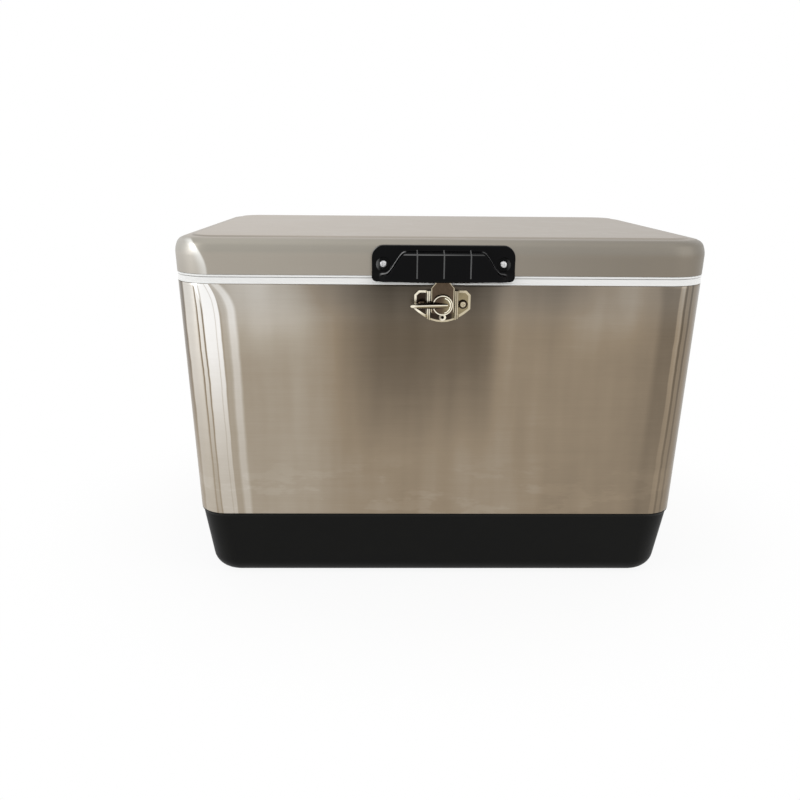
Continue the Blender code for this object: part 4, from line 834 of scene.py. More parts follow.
def rubberMaterial():
    p = rubber
    made, tree, shader, place = startMaterial("blackRubber", 0.0, 0.75)
    grain = placeGroup(tree, "mouldGrain", place)
    base = tinted(tree, p["colour"], grain["Mottle"], p["mottle"])
    rough = scaled(tree, grain["Height"], p["span"], p["rough"])
    wire(tree, shader, base, rough, bumpNode(tree, grain["Height"], 0.2, 0.0003))
    return made


def foamMaterial():
    made, tree, shader, place = startMaterial("insulationFoam", 0.0, 0.9)
    cells = tree.nodes.new("ShaderNodeTexVoronoi")
    cells.inputs["Scale"].default_value = foam["cells"]
    tree.links.new(place, cells.inputs["Vector"])
    gap = cells.outputs["Distance"]
    base = mixColours(tree, gap, foam["deep"], foam["face"])
    wire(tree, shader, base, None, bumpNode(tree, gap, 0.5, 0.0005))
    return made


finishes = {
    "lid_steel": lidSteelMaterial(),
    "belt_steel": beltSteelMaterial(),
    "white_plastic": mouldedMaterial("whitePlastic", 0.34),
    "black_base": mouldedMaterial("blackBase", 0.46, **{"Specular IOR Level": 0.08}),
    "black_moulding": blackMouldingMaterial("blackMoulding", blackPlastic),
    # the handle's ribs: black moulding painted pale, a painted highlight along each rib
    "ribHighlightMoulding": blackMouldingMaterial("ribHighlightMoulding", (0.10, 0.10, 0.10)),
    "latch_nickel": platedMaterial("latchNickel", (0.74, 0.69, 0.60), (0.50, 0.46, 0.38), 0.20),
    "zinc_steel": platedMaterial("zincSteel", (0.58, 0.58, 0.58), (0.42, 0.42, 0.43), 0.30),
    "rubber": rubberMaterial(),
    "insulation": foamMaterial(),
}
print("finishes made:", len(finishes))


# lid: pressed shell and moulded liner
lidShell = {
    "skirtHeight": 26.0,
    "skirtRound": 30.0,
    "shoulderRise": 13.0,
    "shoulderInset": 12.0,
    "roundDrop": 1.0,
    "roundInset": 4.0,
    "roundFall": 3.9,
    "roundRadius": 10.0,
    "creaseRound": 20.0,
    "border": 7.0,
    "panelStep": 5.0,
    "panelRise": 1.65,
    "panelRound": 5.0,
    "panelReach": 6.0,
    "hem": 0.5,
    "hemRise": 0.05,
    "sheet": 0.8,
    "guard": 0.4,  # a wider one folds the short flats between the shoulder's rounds
}


def makeLidShell():
    s = lidShell
    foot = chest["measuredAt"]
    skirtTop = foot + s["skirtHeight"]
    crease = skirtTop + s["shoulderRise"]
    borderEnd = s["shoulderInset"] + s["border"]
    panel = borderEnd + s["panelStep"]
    points = softPath([
        (s["hem"], foot, 0), (0.0, foot + s["hemRise"], s["hem"]),
        (0.0, skirtTop - s["roundDrop"], s["skirtRound"]),
        (s["roundInset"], crease - s["roundFall"], s["roundRadius"]),
        (s["shoulderInset"], crease, s["creaseRound"]), (borderEnd, crease, s["panelRound"]),
        (panel, crease + s["panelRise"], s["panelRound"]),
        (panel + s["panelReach"], crease + s["panelRise"], 0),
    ], steps=5, guard=s["guard"])
    bm = stackRings([wallRing(inset, height) for inset, height in points], capLast=True)
    flankCuts(bm)
    piece = dress("lidShell", bm, "lid_steel", "lid", "lid_shell", smooth=60)
    thicken(piece, s["sheet"])
    return piece


lidLiner = {
    "edgeHeight": 2.5,
    "gap": 0.3,
    "tuck": 6.5,
    "sheet": 2.5,
    "wallInset": 36.0,
    "plugGap": 2.2,
    "plugDepth": 16.0,
    "plugDraft": 3.0,
    "plugCorner": 25.8,
    "plugRound": 3.0,
    "rootRound": 1.6,
    "border": 20.0,
    "recess": 6.0,
    "recessSlope": 4.0,
    "recessRound": 2.0,
    "reach": 8.0,
    "edgeRounds": (0.6, 0.5, 0.2),  # foot, top, tuck
}


def makeLidLiner():
    s = lidLiner
    top, sheet, corner = chest["measuredAt"], s["sheet"], s["plugCorner"]
    foot = top - s["edgeHeight"]
    tuck = lidShell["sheet"] + s["gap"]
    plug = s["wallInset"] + s["plugGap"]
    draft = plug + s["plugDraft"]
    recess = draft + s["border"]
    slopeEnd = recess + s["recessSlope"]
    floor = foot - s["plugDepth"]
    ceiling = floor + s["recess"]
    under = softPath([
        (slopeEnd + s["reach"], ceiling, 0), (slopeEnd, ceiling, s["recessRound"]),
        (recess, floor, s["recessRound"]), (draft, floor, s["plugRound"]), (plug, foot, s["rootRound"]),
        (plug - s["reach"], foot, 0),
    ], steps=4, guard=0.6)
    footRound, topRound, tuckRound = s["edgeRounds"]
    edge = softPath([
        (s["reach"], foot, 0), (0.0, foot, footRound), (0.0, top - s["gap"], topRound),
        (tuck, top - s["gap"], tuckRound), (tuck, top + s["tuck"], 0),
    ], steps=3, guard=0.3)
    rings = [wallRing(inset, height, corner) for inset, height in under]
    rings += [wallRing(inset, height) for inset, height in edge]
    rings += [wallRing(tuck + sheet, top + s["tuck"]), wallRing(tuck + sheet, foot + sheet)]
    rings += [wallRing(inset, height + sheet, corner) for inset, height in (
        (plug + sheet, foot), (draft + sheet, floor), (recess - sheet, floor), (slopeEnd - sheet, ceiling),
    )]
    bm = stackRings(rings, capFirst=True, capLast=True)
    return dress("lidLiner", bm, "white_plastic", "lid", "lid_liner")


# body: tub, belt and base
tub = {
    "rimBottom": 361.3,
    "rimTop": 368.3,
    "rimRound": 6.0,
    "rimSteps": 6,
    "wallInset": 36.0,
    "corner": 28.0,
    "floor": 45.0,
    "floorRound": 12.0,
    "sheet": 3.0,
    "bead": 2.2,
    "step": 0.5,
    "lipReach": 6.0,
    "lipRounds": (0.6, 0.5, 0.4, 0.4),  # rim's top, bead, step, foot
}


def tubWall(side, top, floor, radius):
    steps = 8
    inset, corner = tub["wallInset"] - side, tub["corner"] + side
    rings = [wallRing(inset, top, corner)]
    for step in range(steps + 1):
        angle = math.pi / 2 * step / steps
        further = radius * (1 - math.cos(angle))
        rings.append(wallRing(inset + further, floor + radius * (1 - math.sin(angle)), corner - further))
    return rings


def makeTub():
    s = tub
    inside = tubWall(0.0, s["rimTop"] - s["rimRound"], s["floor"], s["floorRound"])
    rim = []
    for step in range(s["rimSteps"]):
        angle = math.pi / 2 * step / s["rimSteps"]
        across, drop = (s["rimRound"] * (1 - turn) for turn in (math.sin(angle), math.cos(angle)))
        rim.append(wallRing(s["wallInset"] - across, s["rimTop"] - drop, s["corner"] + across))
    bead = s["rimBottom"] + s["bead"]
    topRound, beadRound, stepRound, footRound = s["lipRounds"]
    lip = softPath([
        (s["lipReach"], s["rimTop"], 0), (s["step"], s["rimTop"], topRound), (s["step"], bead, beadRound),
        (0.0, bead - s["step"], stepRound), (0.0, s["rimBottom"], footRound), (s["sheet"], s["rimBottom"], 0),
    ], steps=3, guard=0.25)
    shell = s["rimTop"] - s["sheet"]
    rings = inside[::-1] + rim[::-1] + [wallRing(inset, height) for inset, height in lip]
    rings.append(wallRing(s["sheet"], shell))
    rings += tubWall(s["sheet"], shell, s["floor"] - s["sheet"], s["floorRound"] + s["sheet"])
    bm = stackRings(rings, capFirst=True, capLast=True)
    return dress("tubLiner", bm, "white_plastic", "chest", "tub_liner")


belt = {
    "foot": 85.0,
    "top": 361.0,
    "sheet": 0.8,
    "edge": 0.35,
    "edgeBand": 3.0,
    "seamWidth": 14.0,
    "seamRise": 0.6,
    "seamSink": 0.3,
    "seamEnd": 6.0,
    "seamCorner": 1.2,
    "seamEdge": 0.25,
}


def makeBelt():
    s = belt
    foot, top = s["foot"], s["top"]
    bm = stackRings([wallRing(inset, height) for inset, height in (
        (s["edge"], foot), (0.0, foot + s["edge"]), (0.0, foot + s["edgeBand"]),
        (0.0, top - s["edgeBand"]), (0.0, top - s["edge"]), (s["edge"], top),
    )])
    flankCuts(bm)
    piece = dress("steelBelt", bm, "belt_steel", "chest", "steel_belt", smooth=60)
    thicken(piece, s["sheet"])
    return piece


def makeBeltSeam():
    # the lapped joint down the middle of the back
    s = belt
    length = (s["top"] - s["foot"]) / math.cos(wallLean)
    half = (length - 2 * s["seamEnd"]) / 2
    bar = roundBar(s["seamWidth"] / 2, half, s["seamCorner"], 3)
    points = [(along, up + s["seamEnd"] + half) for along, up in bar]
    bm = addSlab(bmesh.new(), points, -s["seamSink"], s["seamRise"], edge=s["seamEdge"])
    return dress("beltSeam", bm, "belt_steel", "chest", "steel_belt", site("back", s["foot"]))


base = {
    "height": 85.0,
    "tuck": 10.0,
    "tuckGap": 0.15,
    "inset": 1.4,
    "slope": 0.135,
    "wall": 3.0,
    "round": 22.0,
    "foot": 26.0,
    "footRise": 4.0,
    "footSlope": 2.0,
    "flankSpare": 14.0,
    "ribWidth": 8.0,
    "ribReach": 1.0,
    "ribLift": 0.5,
    "ribEdge": 0.8,
    "ribPlaces": (-108.25, 0.0, 108.25),
    # (inset, drop below the belt's foot) down the flared lip under the belt
    "lip": (
        (0.0, 0.3), (-1.1, 0.3), (-1.32, 0.5), (-1.32, 1.0),
        (-1.1, 1.7), (-0.5, 2.9), (-0.1, 4.0), (0.0, 5.2),
    ),
}


def baseRing(inset, height):
    top = (base["height"] - chest["measuredAt"]) * chest["slope"]
    total = top - base["inset"] - inset - (base["height"] - height) * base["slope"]
    corner = chest["footCorner"] - base["inset"] - inset
    return chest["halfWidth"] + total, chest["halfDepth"] + total, corner, height


def baseFillet(radius, floor, inset):
    steps = 10
    lean = math.atan(base["slope"])
    start = floor + radius - radius * math.sin(lean)
    rings = []
    for step in range(steps + 1):
        angle = lean + (math.pi / 2 - lean) * step / steps
        height = floor + radius - radius * math.sin(angle)
        drift = (start - height) * base["slope"]
        rings.append(baseRing(inset + radius * (math.cos(lean) - math.cos(angle)) - drift, height))
    return rings


def makeBase():
    s = base
    outer = baseFillet(s["round"], 0.0, 0.0)
    halfX, halfY, corner, _ = outer[-1]
    rings = []
    for inset, height in ((s["foot"] + s["footSlope"], s["footRise"]), (s["foot"], 0.0)):
        rings.append((halfX - inset, halfY - inset, max(corner - inset, s["footSlope"]), height))
    rings += outer[::-1]
    rings += [baseRing(inset, s["height"] - drop) for inset, drop in s["lip"][::-1]]
    tuckTop = s["height"] + s["tuck"]
    rings += [
        wallRing(s["inset"] + s["tuckGap"], tuckTop), wallRing(s["inset"] + s["wall"], tuckTop),
        baseRing(s["wall"], s["height"]),
    ]
    rings += baseFillet(s["round"] - s["wall"], s["footRise"] + s["wall"], s["wall"])
    bm = stackRings(rings, capFirst=True, capLast=True)
    flankCuts(bm, spare=s["flankSpare"], corner=s["round"] + s["flankSpare"])
    length = 2 * (halfX - s["foot"] + s["ribReach"])
    for place in s["ribPlaces"]:
        made = bmesh.ops.create_cube(bm, size=1.0)["verts"]
        bmesh.ops.scale(bm, vec=(length, s["ribWidth"], s["footRise"]), verts=made)
        middle = s["footRise"] / 2 + s["ribLift"]
        bmesh.ops.translate(bm, vec=(0, chest["middle"] + place, middle), verts=made)
        edges = {edge for vert in made for edge in vert.link_edges}
        rim = [edge for edge in edges if abs(edge.verts[0].co.z - edge.verts[1].co.z) < 0.1]
        bmesh.ops.bevel(
            bm, geom=rim, offset=s["ribEdge"], segments=2, profile=0.5, affect="EDGES", material=-1
        )
    return dress("baseTray", bm, "black_base", "chest", "base_tray", smooth=40)


makeLidShell()
makeLidLiner()
makeTub()
makeBelt()
makeBeltSeam()
makeBase()
print("shells made")


# fasteners
screw = {
    "head": 4.1,
    "height": 2.2,
    "brim": 0.8,
    "crownShares": (0.62, 0.93),  # of the head's radius and height
    "rounds": (0.25, 0.9, 1.8),  # under the head, brim, crown
    "shank": 1.9,
    "length": 14.0,
    "tip": 3.0,
    "tipShare": 0.4,
    "tipRise": 0.6,
    "crossWidth": 1.0,
    "crossLength": 4.7,
    "crossDepth": 1.3,
    "crossTurn": 0.5,
    "crossShares": (0.5, 0.7),  # how far it narrows to its floor, along and across
}
rivet = {"head": 3.2, "height": 1.4, "brim": 0.5, "rounds": (0.2, 0.8), "shank": 1.7, "length": 6.0}


def screwMesh():
    s = screw
    crown, rise = s["crownShares"]
    under, brim, over = s["rounds"]
    head = softPath([
        (s["shank"], 0.0, 0), (s["head"], 0.0, under), (s["head"], s["brim"], brim),
        (s["head"] * crown, s["height"] * rise, over), (0.0, s["height"], 0),
    ], steps=4)
    profile = [
        (0.0, -s["length"]), (s["shank"] * s["tipShare"], -s["length"] + s["tipRise"]),
        (s["shank"], s["tip"] - s["length"]),
    ]
    piece = bpy.data.objects.new("screw", dropped(turnedMesh(profile + head, 32), "screw"))
    bpy.context.scene.collection.objects.link(piece)
    for turn in (0.0, math.pi / 2):
        cutter = bmesh.new()
        verts = bmesh.ops.create_cube(cutter, size=1.0)["verts"]
        for vert in verts:
            deep = vert.co.y > 0
            along, across = s["crossShares"] if deep else (1.0, 1.0)
            vert.co.x *= s["crossLength"] * along
            vert.co.z *= s["crossWidth"] * across
            vert.co.y = -s["height"] + s["crossDepth"] if deep else -s["height"] - 1.0
        spun = Matrix.Rotation(turn + s["crossTurn"], 3, "Y")
        bmesh.ops.rotate(cutter, cent=(0, 0, 0), matrix=spun, verts=verts)
        spare = bpy.data.objects.new("cross", dropped(cutter, "cross"))
        bpy.context.scene.collection.objects.link(spare)
        modifier = piece.modifiers.new("cross", "BOOLEAN")
        modifier.solver = "EXACT"
        modifier.object = spare
    bpy.context.view_layer.update()
    bakeModifiers(piece)
    mesh = piece.data
    for spare in [thing for thing in bpy.data.objects if thing.name.startswith(("cross", "screw"))]:
        bpy.data.objects.remove(spare)
    return mesh


screwShape = screwMesh()


def placeScrew(node, matrix, body, slotName="zinc_steel", turn=0.0, finish=None):
    bm = bmesh.new()
    bm.from_mesh(screwShape)
    turned = matrix @ Matrix.Rotation(turn, 4, "Y")
    return dress(node + "_dressed", bm, slotName, body, node, turned, finish=finish)


def placeRivet(node, matrix, body):
    s = rivet
    under, brim = s["rounds"]
    head = softPath([
        (s["shank"], 0.0, 0), (s["head"], 0.0, under), (s["head"], s["brim"], brim), (0.0, s["height"], 0),
    ], 5)
    profile = [(0.0, -s["length"]), (s["shank"], -s["length"])] + head
    return dress(node + "_dressed", turnedMesh(profile, 28), "zinc_steel", body, node, matrix)


# lid handle
handle = {
    "width": 155.5,
    "height": 39.0,
    "middle": 385.6,
    "corner": 12.5,
    "footCorner": 5.0,
    "plate": 6.5,
    "edge": 1.8,
    "relief": 1.2,
    "wall": 3.0,
    "lipHeight": 6.3,
    "lipEndHeight": 4.5,
    "lipReach": 19.5,
    "lipEndReach": 9.5,
    "lipRound": 4.5,
    "gripReach": 17.2,
    "gripWidth": 83.4,
    "gripSide": 22.0,
    "gripRise": 10.5,
    "gripRound": 1.6,
    "gripStep": 3.5,
    "flare": 6.0,
    "hollowWidth": 106.0,
    "ribWidth": 1.6,
    "ribRise": 0.6,
    "ribPlaces": (-28.9, 0.0, 28.9),
    "screwPlaces": (-65.2, 65.2),
    "screwDrop": 1.0,
    "well": 7.8,
    "wellFloor": 4.2,
    "wellEdge": 0.5,
    "wellFlare": (0.7, 0.9),  # wider by this at the plate's face and beyond it
    "skirtLap": 2.0,
    "stepRound": 1.6,
    "hollowShares": (0.0, 0.4, 0.72, 0.86, 0.95, 1.0),  # of the hollow's half width
    "ribStartShares": (0.19, 0.23, 0.27, 0.60),  # up the short flat after the lip's round
    "ribSink": (0.12, 0.25),  # at the ribs' ends and along their feet
}
# painted highlights on the handle: where they lie and their colour
handleHighlights = {
    "rim": (-0.9, -0.1),  # out, from the plate's face
    "rimBack": (1.6, 3.4),
    "rimEnds": (68.0, 75.0),
    "flareOut": 2.6,
    "flareHalf": 2.0,
    "flareStart": (40.0, 44.0),
    "flareEnd": (66.0, 70.0),
    "gripUp": 0.3,
    "gripHalf": 0.7,
    "gripOut": (14.5, 16.0),
    "gripAmount": 0.5,
    "colour": (0.30, 0.30, 0.30),
}


def handleTop(along):
    s = handle
    past = max(abs(along) - (s["width"] / 2 - s["corner"]), 0.0)
    return s["height"] / 2 - s["corner"] + math.sqrt(max(s["corner"] ** 2 - past**2, 0.0))


def handleFoot(along):
    s = handle
    past = max(abs(along) - (s["width"] / 2 - s["footCorner"]), 0.0)
    return s["footCorner"] - math.sqrt(max(s["footCorner"] ** 2 - past**2, 0.0)) - s["height"] / 2


def lipReach(along):
    s = handle
    return s["lipReach"] - (s["lipReach"] - s["lipEndReach"]) * (abs(along) / (s["width"] / 2)) ** 2


def gripEdge(along):
    s = handle
    lip = max(s["lipHeight"] - s["height"] / 2, handleFoot(along) + s["lipEndHeight"])
    return lip + (s["gripRise"] - lip) * smoothStep(1 - (abs(along) - s["gripWidth"] / 2) / s["gripSide"])


def gripFace(along):
    s = handle
    flare = min((s["gripWidth"] / 2 + s["gripSide"] + s["flare"] - abs(along)) / s["flare"], 1.0)
    low = lipReach(along) - s["gripRound"]
    return low + (s["gripReach"] - low) * max(flare, 0.0)


def handleSection(along):
    # (out, up) round the handle: foot, lip, grip's edge, plate, head and back
    s = handle
    foot, head, edge = handleFoot(along), handleTop(along), gripEdge(along)
    lip, face = lipReach(along), gripFace(along)
    step = min(s["gripStep"], (head - s["edge"] - edge) / 2)
    bend = min(s["lipRound"], (edge - s["gripRound"] - foot) / 2)
    run = softPath([
        (s["relief"], foot, 0), (lip, foot, bend * 1.05), (face, edge, s["gripRound"] * 1.2),
        (s["plate"], edge + step, s["stepRound"]), (s["plate"], head, s["edge"]), (fit, head, 0),
    ], steps=6, guard=0.5)
    skirt = chest["measuredAt"] - s["middle"] + s["skirtLap"]
    return [tuple(point) for point in run] + [(fit, skirt), (s["relief"], skirt)]


def handleStations():
    s = handle
    half, grip = s["width"] / 2, s["gripWidth"] / 2
    side = [grip * share / 4 for share in range(4)]
    side += [grip + s["gripSide"] * share / 16 for share in range(17)]
    side += [grip + s["gripSide"] + s["flare"] * share / 4 for share in range(1, 5)]
    side += [half - s["corner"] * (1 - math.sin(math.pi / 2 * share / 9)) for share in range(3, 10)]
    return [-along for along in side[:0:-1]] + side


def handlePaint(tree, place):
    # black, with painted highlights along the ends' rims, the flares' feet and the grip's top edge
    s, w = handle, handleHighlights
    along, out, up = wallAxes(tree, place, s["middle"])
    across = unsigned(tree, along)
    rim = times(
        tree, fadeOut(tree, out, w["rim"], s["plate"]), fadeIn(tree, out, w["rimBack"]),
        fadeIn(tree, across, w["rimEnds"]),
    )
    flare = times(
        tree, softBand(tree, out, s["plate"] + w["flareOut"], w["flareHalf"]),
        fadeIn(tree, across, w["flareStart"]), fadeOut(tree, across, w["flareEnd"]),
    )
    grip = softBand(tree, up, s["gripRise"] + w["gripUp"], w["gripHalf"])
    grip = times(tree, grip, fadeIn(tree, out, w["gripOut"]), w["gripAmount"])
    # the painted highlights are stronger to the left, where the light comes from
    left = rangeNode(tree, along, -30.0, 40.0, 1.0, 0.35)
    return mixColours(tree, times(tree, largest(tree, rim, flare, grip), left), blackPlastic, w["colour"])


finishes["lidHandle"] = blackMouldingMaterial("lidHandleMoulding", None, handlePaint)


def makeHandle():
    s = handle
    place = site("front", s["middle"])
    sections = [[(along, -out, up) for out, up in handleSection(along)] for along in handleStations()]
    bm = loftLoops(bmesh.new(), sections)
    piece = dress("lidHandle", bm, "black_moulding", "lid", "lid_handle", place, finish="lidHandle")
    hollow = []
    below, behind = -s["height"] / 2 - 2, -2.0
    for share in [-part for part in s["hollowShares"][:0:-1]] + list(s["hollowShares"]):
        along = s["hollowWidth"] / 2 * share
        face = min(gripFace(along), lipReach(along)) - s["wall"]
        roof = max(gripEdge(along) - s["wall"], (s["lipHeight"] - s["height"]) / 2)
        corners = [(behind, below, 0), (face, below, 0), (face, roof, s["stepRound"]), (behind, roof, 0)]
        hollow.append([(along, -out, up) for out, up in softPath(corners, 4)])
    cutters = [loftLoops(bmesh.new(), hollow)]
    well, floor, edge = s["well"], s["wellFloor"], s["wellEdge"]
    faceFlare, farFlare = s["wellFlare"]
    for along in s["screwPlaces"]:
        cutter = turnedMesh([
            (0.0, floor), (well - edge, floor), (well, floor + edge), (well, s["plate"] - edge),
            (well + faceFlare, s["plate"] + 0.05), (well + farFlare, 60.0), (0.0, 60.0),
        ], 48)
        bmesh.ops.translate(cutter, vec=(along, 0, -s["screwDrop"]), verts=cutter.verts)
        cutters.append(cutter)
    carve(piece, cutters, place)
    return piece


def makeHandleRibs():
    # three raised lines that follow the grip's face over its edge
    s = handle
    bm = bmesh.new()
    width = s["ribWidth"] / 2
    endSink, footSink = s["ribSink"]
    for middle in s["ribPlaces"]:
        front = handleSection(middle)
        low, high = Vector(front[8]), Vector(front[9])  # the short flat after the lip's round
        run = [low.lerp(high, share) for share in s["ribStartShares"]]
        run += [Vector(point) for point in front[9:27]]
        sections = []
        for index, point in enumerate(run):
            ahead = (run[min(index + 1, len(run) - 1)] - run[max(index - 1, 0)]).normalized()
            normal = Vector((ahead.y, -ahead.x))
            if normal.x < 0 and normal.y < 0:
                normal = -normal
            fade = min(index, len(run) - 1 - index, 2) / 2
            rise = s["ribRise"] * fade - endSink * (1 - fade)
            ring = []
            for step in range(9):
                angle = math.pi * step / 8
                out = point + normal * (rise * math.sin(angle) - footSink)
                ring.append((middle + width * math.cos(angle), -out.x, out.y))
            sections.append(ring)
        loftLoops(bm, sections)
    place = site("front", s["middle"])
    # the ribs take the pale finish: a painted highlight along each
    return dress("lidHandleRibs", bm, "black_moulding", "lid", "lid_handle", place, 60, "ribHighlightMoulding")


makeHandle()
makeHandleRibs()
for name, along, turn in (("left", handle["screwPlaces"][0], 0.35), ("right", handle["screwPlaces"][1], 0.1)):
    seat = near(site("front", handle["middle"]), along, -handle["screwDrop"], handle["wellFloor"] + fit)
    placeScrew(f"lid_handle_screw_{name}", seat, "lid", turn=turn)
print("handle made")


# turn latch
latch = {
    "height": 340.2,
    "plateHalf": 31.0,
    "plateRise": 15.4,
    "plateFall": 19.7,
    "sideFall": 5.2,
    "chamfer": 4.8,
    "sheet": 1.2,
    "channel": 13.0,
    "channelFloor": 3.3,
    "rib": 4.8,
    "ribReach": 6.0,
    "screwOffset": 22.7,
    "dimple": 5.2,
    "dimpleDepth": 0.7,
    "border": 2.4,
    "borderRise": 0.4,
    "edge": 0.35,
    "rounds": (0.9, 1.0),  # at the ribs' feet and along their tops
    "ribSlope": 0.6,
    # columns of the pressed sheet, closer together over the ribs
    "columns": (
        0.0, 6.0, 11.0, 12.1, 12.5, 12.8, 13.1, 13.3, 13.5, 13.8, 14.3, 15.4,
        16.5, 17.0, 17.3, 17.5, 17.7, 18.0, 18.4, 18.9,
    ),
    "wingColumn": 19.4,
    "columnStep": 0.6,
    "rows": 44,
}
tongue = {
    "sheet": 1.5,
    "lift": 0.9,
    "neck": 8.2,
    "shoulder": 18.6,
    "flare": 5.2,
    "half": 12.7,
    "fall": 9.5,
    "round": 3.0,
    "rise": 16.0,
    "bend": 4.0,
    "window": 7.0,
    "throat": 3.7,
    "throatTop": -5.9,
    "edge": 0.3,
    "rounds": (2.0, 2.0, 0.6),  # neck, shoulder, throat
    "rivetRise": 9.5,
    "rivetSpacing": 8.0,
}
turret = {
    "disc": 11.25,
    "sheet": 2.6,
    "gap": 0.8,
    "stud": 3.1,
    "studEnd": 2.2,
    "neckLong": 13.0,
    "neckShort": 6.4,
    "ridgeArc": 8.3,
    "ridgeWidth": 2.0,
    "ridgeRise": 1.2,
    "ridgeSpread": 76.0,
    "leverRoot": 6.2,
    "leverLength": 35.8,
    "leverHalf": 4.2,
    "leverFront": 1.5,
    "leverTip": 2.1,
    "rootReach": 11.2,
    "tipReach": 16.5,
    "tipBack": 11.8,
    "eyeDrop": 13.2,
    "eye": 4.0,
    "eyeHole": 1.8,
    "eyeBack": 6.8,
    "eyeSheet": 2.4,
    "eyeEdge": 0.4,
    "tail": 3.4,
    "rim": 1.3,
    "groove": (1.6, 2.1, 2.4),  # in from the disc's edge: its outer wall, floor's end and inner wall
    "grooveDepth": 0.35,
    "studGap": 0.5,
    "studTop": 1.95,
    "ribClear": 1.2,
}
latchPlace = site("front", latch["height"])
latchSkirt = (chest["measuredAt"] - latch["height"]) / math.cos(wallLean)  # up to the lid's foot
turretBack = latch["channelFloor"] + tongue["lift"] + tongue["sheet"] + turret["gap"]
turretFront = turretBack + turret["sheet"]
# tones of the latch's painted light and shade, from painted highlight down to painted shade
nickel = {
    "bright": tone(244, 236, 216),
    "mid": tone(192, 181, 156),
    "tan": tone(138, 126, 98),
    "brown": tone(84, 71, 58),
    "deep": tone(52, 43, 36),
}


# where the plate's painted light and shade lie
plateTone = {
    "field": (9.0, 16.0),  # along: painted shade to the left, tan to the right
    "sheenAcross": (-12.0, 12.0),
    "sheenDown": (-8.0, -13.0),
    "border": (0.08, 0.26),  # out, from the wings' face
    "borderEnd": (0.6, 1.0),
    "rib": (0.8, 1.4),  # out, from the channel's floor
    "foot": (1.7, 2.4),
    "groove": 0.9,
    "grooveAmount": 0.8,
    "dimple": (-0.4, 0.2),
}
# where the turret's painted light and shade lie
turretTone = {
    "field": (-2.0, 7.0),
    "face": (-1.2, -0.6),  # out, from the disc's front
    "rimIn": 0.8,
    "rimHalf": 0.8,
    "rimOut": (-0.9, -0.5),
    "ridge": (0.15, 0.5),
    "eyeUp": (-9.6, -9.0),
    "eyeOut": (1.6, 2.0),
    "eyeLit": 2.5,
}
# where the lever's painted light and shade lie
leverTone = {
    "half": 4.5,
    "root": (-2.6, -1.2),
    "tip": (2.0, 9.0),
    "tipAmount": 0.8,
    "stops": (
        (0.0, "brown"), (0.30, "brown"), (0.40, "tan"), (0.50, "tan"),
        (0.54, "bright"), (0.60, "bright"), (0.65, "deep"),
    ),
}


def shadedPair(tree, base):
    # the plating's colour and the shade it clouds to
    return base, tinted(tree, base, 1.0, -0.36)


def platePaint(tree, place):
    # painted reflections: dark fields with painted highlights on the ribs, border and foot; painted shade in
    # the grooves and dimples; the right half is paler than the left
    s, t = latch, plateTone
    along, out, up = wallAxes(tree, place, s["height"])
    base = mixColours(tree, fadeIn(tree, along, t["field"]), nickel["deep"], nickel["tan"])
    sheen = largest(tree, fadeIn(tree, along, t["sheenAcross"]), fadeIn(tree, up, t["sheenDown"]))
    highlightTone = mixColours(tree, sheen, nickel["bright"], nickel["mid"])
    wing = fit + s["sheet"]
    border = times(tree, fadeIn(tree, out, t["border"], wing), fadeOut(tree, out, t["borderEnd"], wing))
    ribs = fadeIn(tree, out, t["rib"], s["channelFloor"])
    bow = times(tree, along, along, (s["plateFall"] - s["sideFall"]) / s["plateHalf"] ** 2)
    drop = minus(tree, mathNode(tree, "ADD", up, s["plateFall"]), bow)
    base = mixColours(tree, largest(tree, border, ribs, fadeOut(tree, drop, t["foot"])), base, highlightTone)
    # painted shade in the groove beside each rib
    groove = softBand(tree, unsigned(tree, along), s["channel"] + s["rib"] / 2, t["groove"])
    base = mixColours(tree, times(tree, groove, t["grooveAmount"]), base, nickel["brown"])
    # painted shade in the screws' dimples
    for sign in (-1, 1):
        far = radiusNode(tree, minus(tree, along, sign * s["screwOffset"]), up)
        base = mixColours(tree, fadeOut(tree, far, t["dimple"], s["dimple"]), base, nickel["deep"])
    return shadedPair(tree, base)


def tonguePaint(tree, place):
    # brown with a paler rim along both sides
    s = tongue
    along, _, up = wallAxes(tree, place, latch["height"])
    slant = (s["half"] - s["neck"]) / s["flare"]
    rise = largest(tree, minus(tree, up, s["shoulder"]), 0.0)
    edge = minus(tree, s["half"], times(tree, rise, slant))
    rim = fadeOut(tree, minus(tree, edge, unsigned(tree, along)), (0.6, 1.2))
    return shadedPair(tree, mixColours(tree, rim, nickel["brown"], nickel["mid"]))


def turretPaint(tree, place):
    # painted shade below the disc and on its sides, brown to tan over its face, painted highlights on the
    # rim, ridge and eye, the eye lit to its lower right
    s, t = turret, turretTone
    along, out, up = wallAxes(tree, place, latch["height"])
    field = mixColours(tree, fadeIn(tree, along, t["field"]), nickel["brown"], nickel["tan"])
    base = mixColours(tree, fadeIn(tree, out, t["face"], turretFront), nickel["deep"], field)
    rim = softBand(tree, radiusNode(tree, along, up), s["disc"] - t["rimIn"], t["rimHalf"])
    rim = times(tree, rim, fadeIn(tree, out, t["rimOut"], turretFront))
    ridge = fadeIn(tree, out, t["ridge"], turretFront)
    lit = minus(tree, along, mathNode(tree, "ADD", up, s["eyeDrop"]))
    eye = times(
        tree, fadeOut(tree, up, t["eyeUp"]), fadeIn(tree, out, t["eyeOut"], s["eyeBack"]),
        rangeNode(tree, lit, -t["eyeLit"], t["eyeLit"], 0.25, 0.9),
    )
    return shadedPair(tree, mixColours(tree, largest(tree, rim, ridge, eye), base, nickel["bright"]))


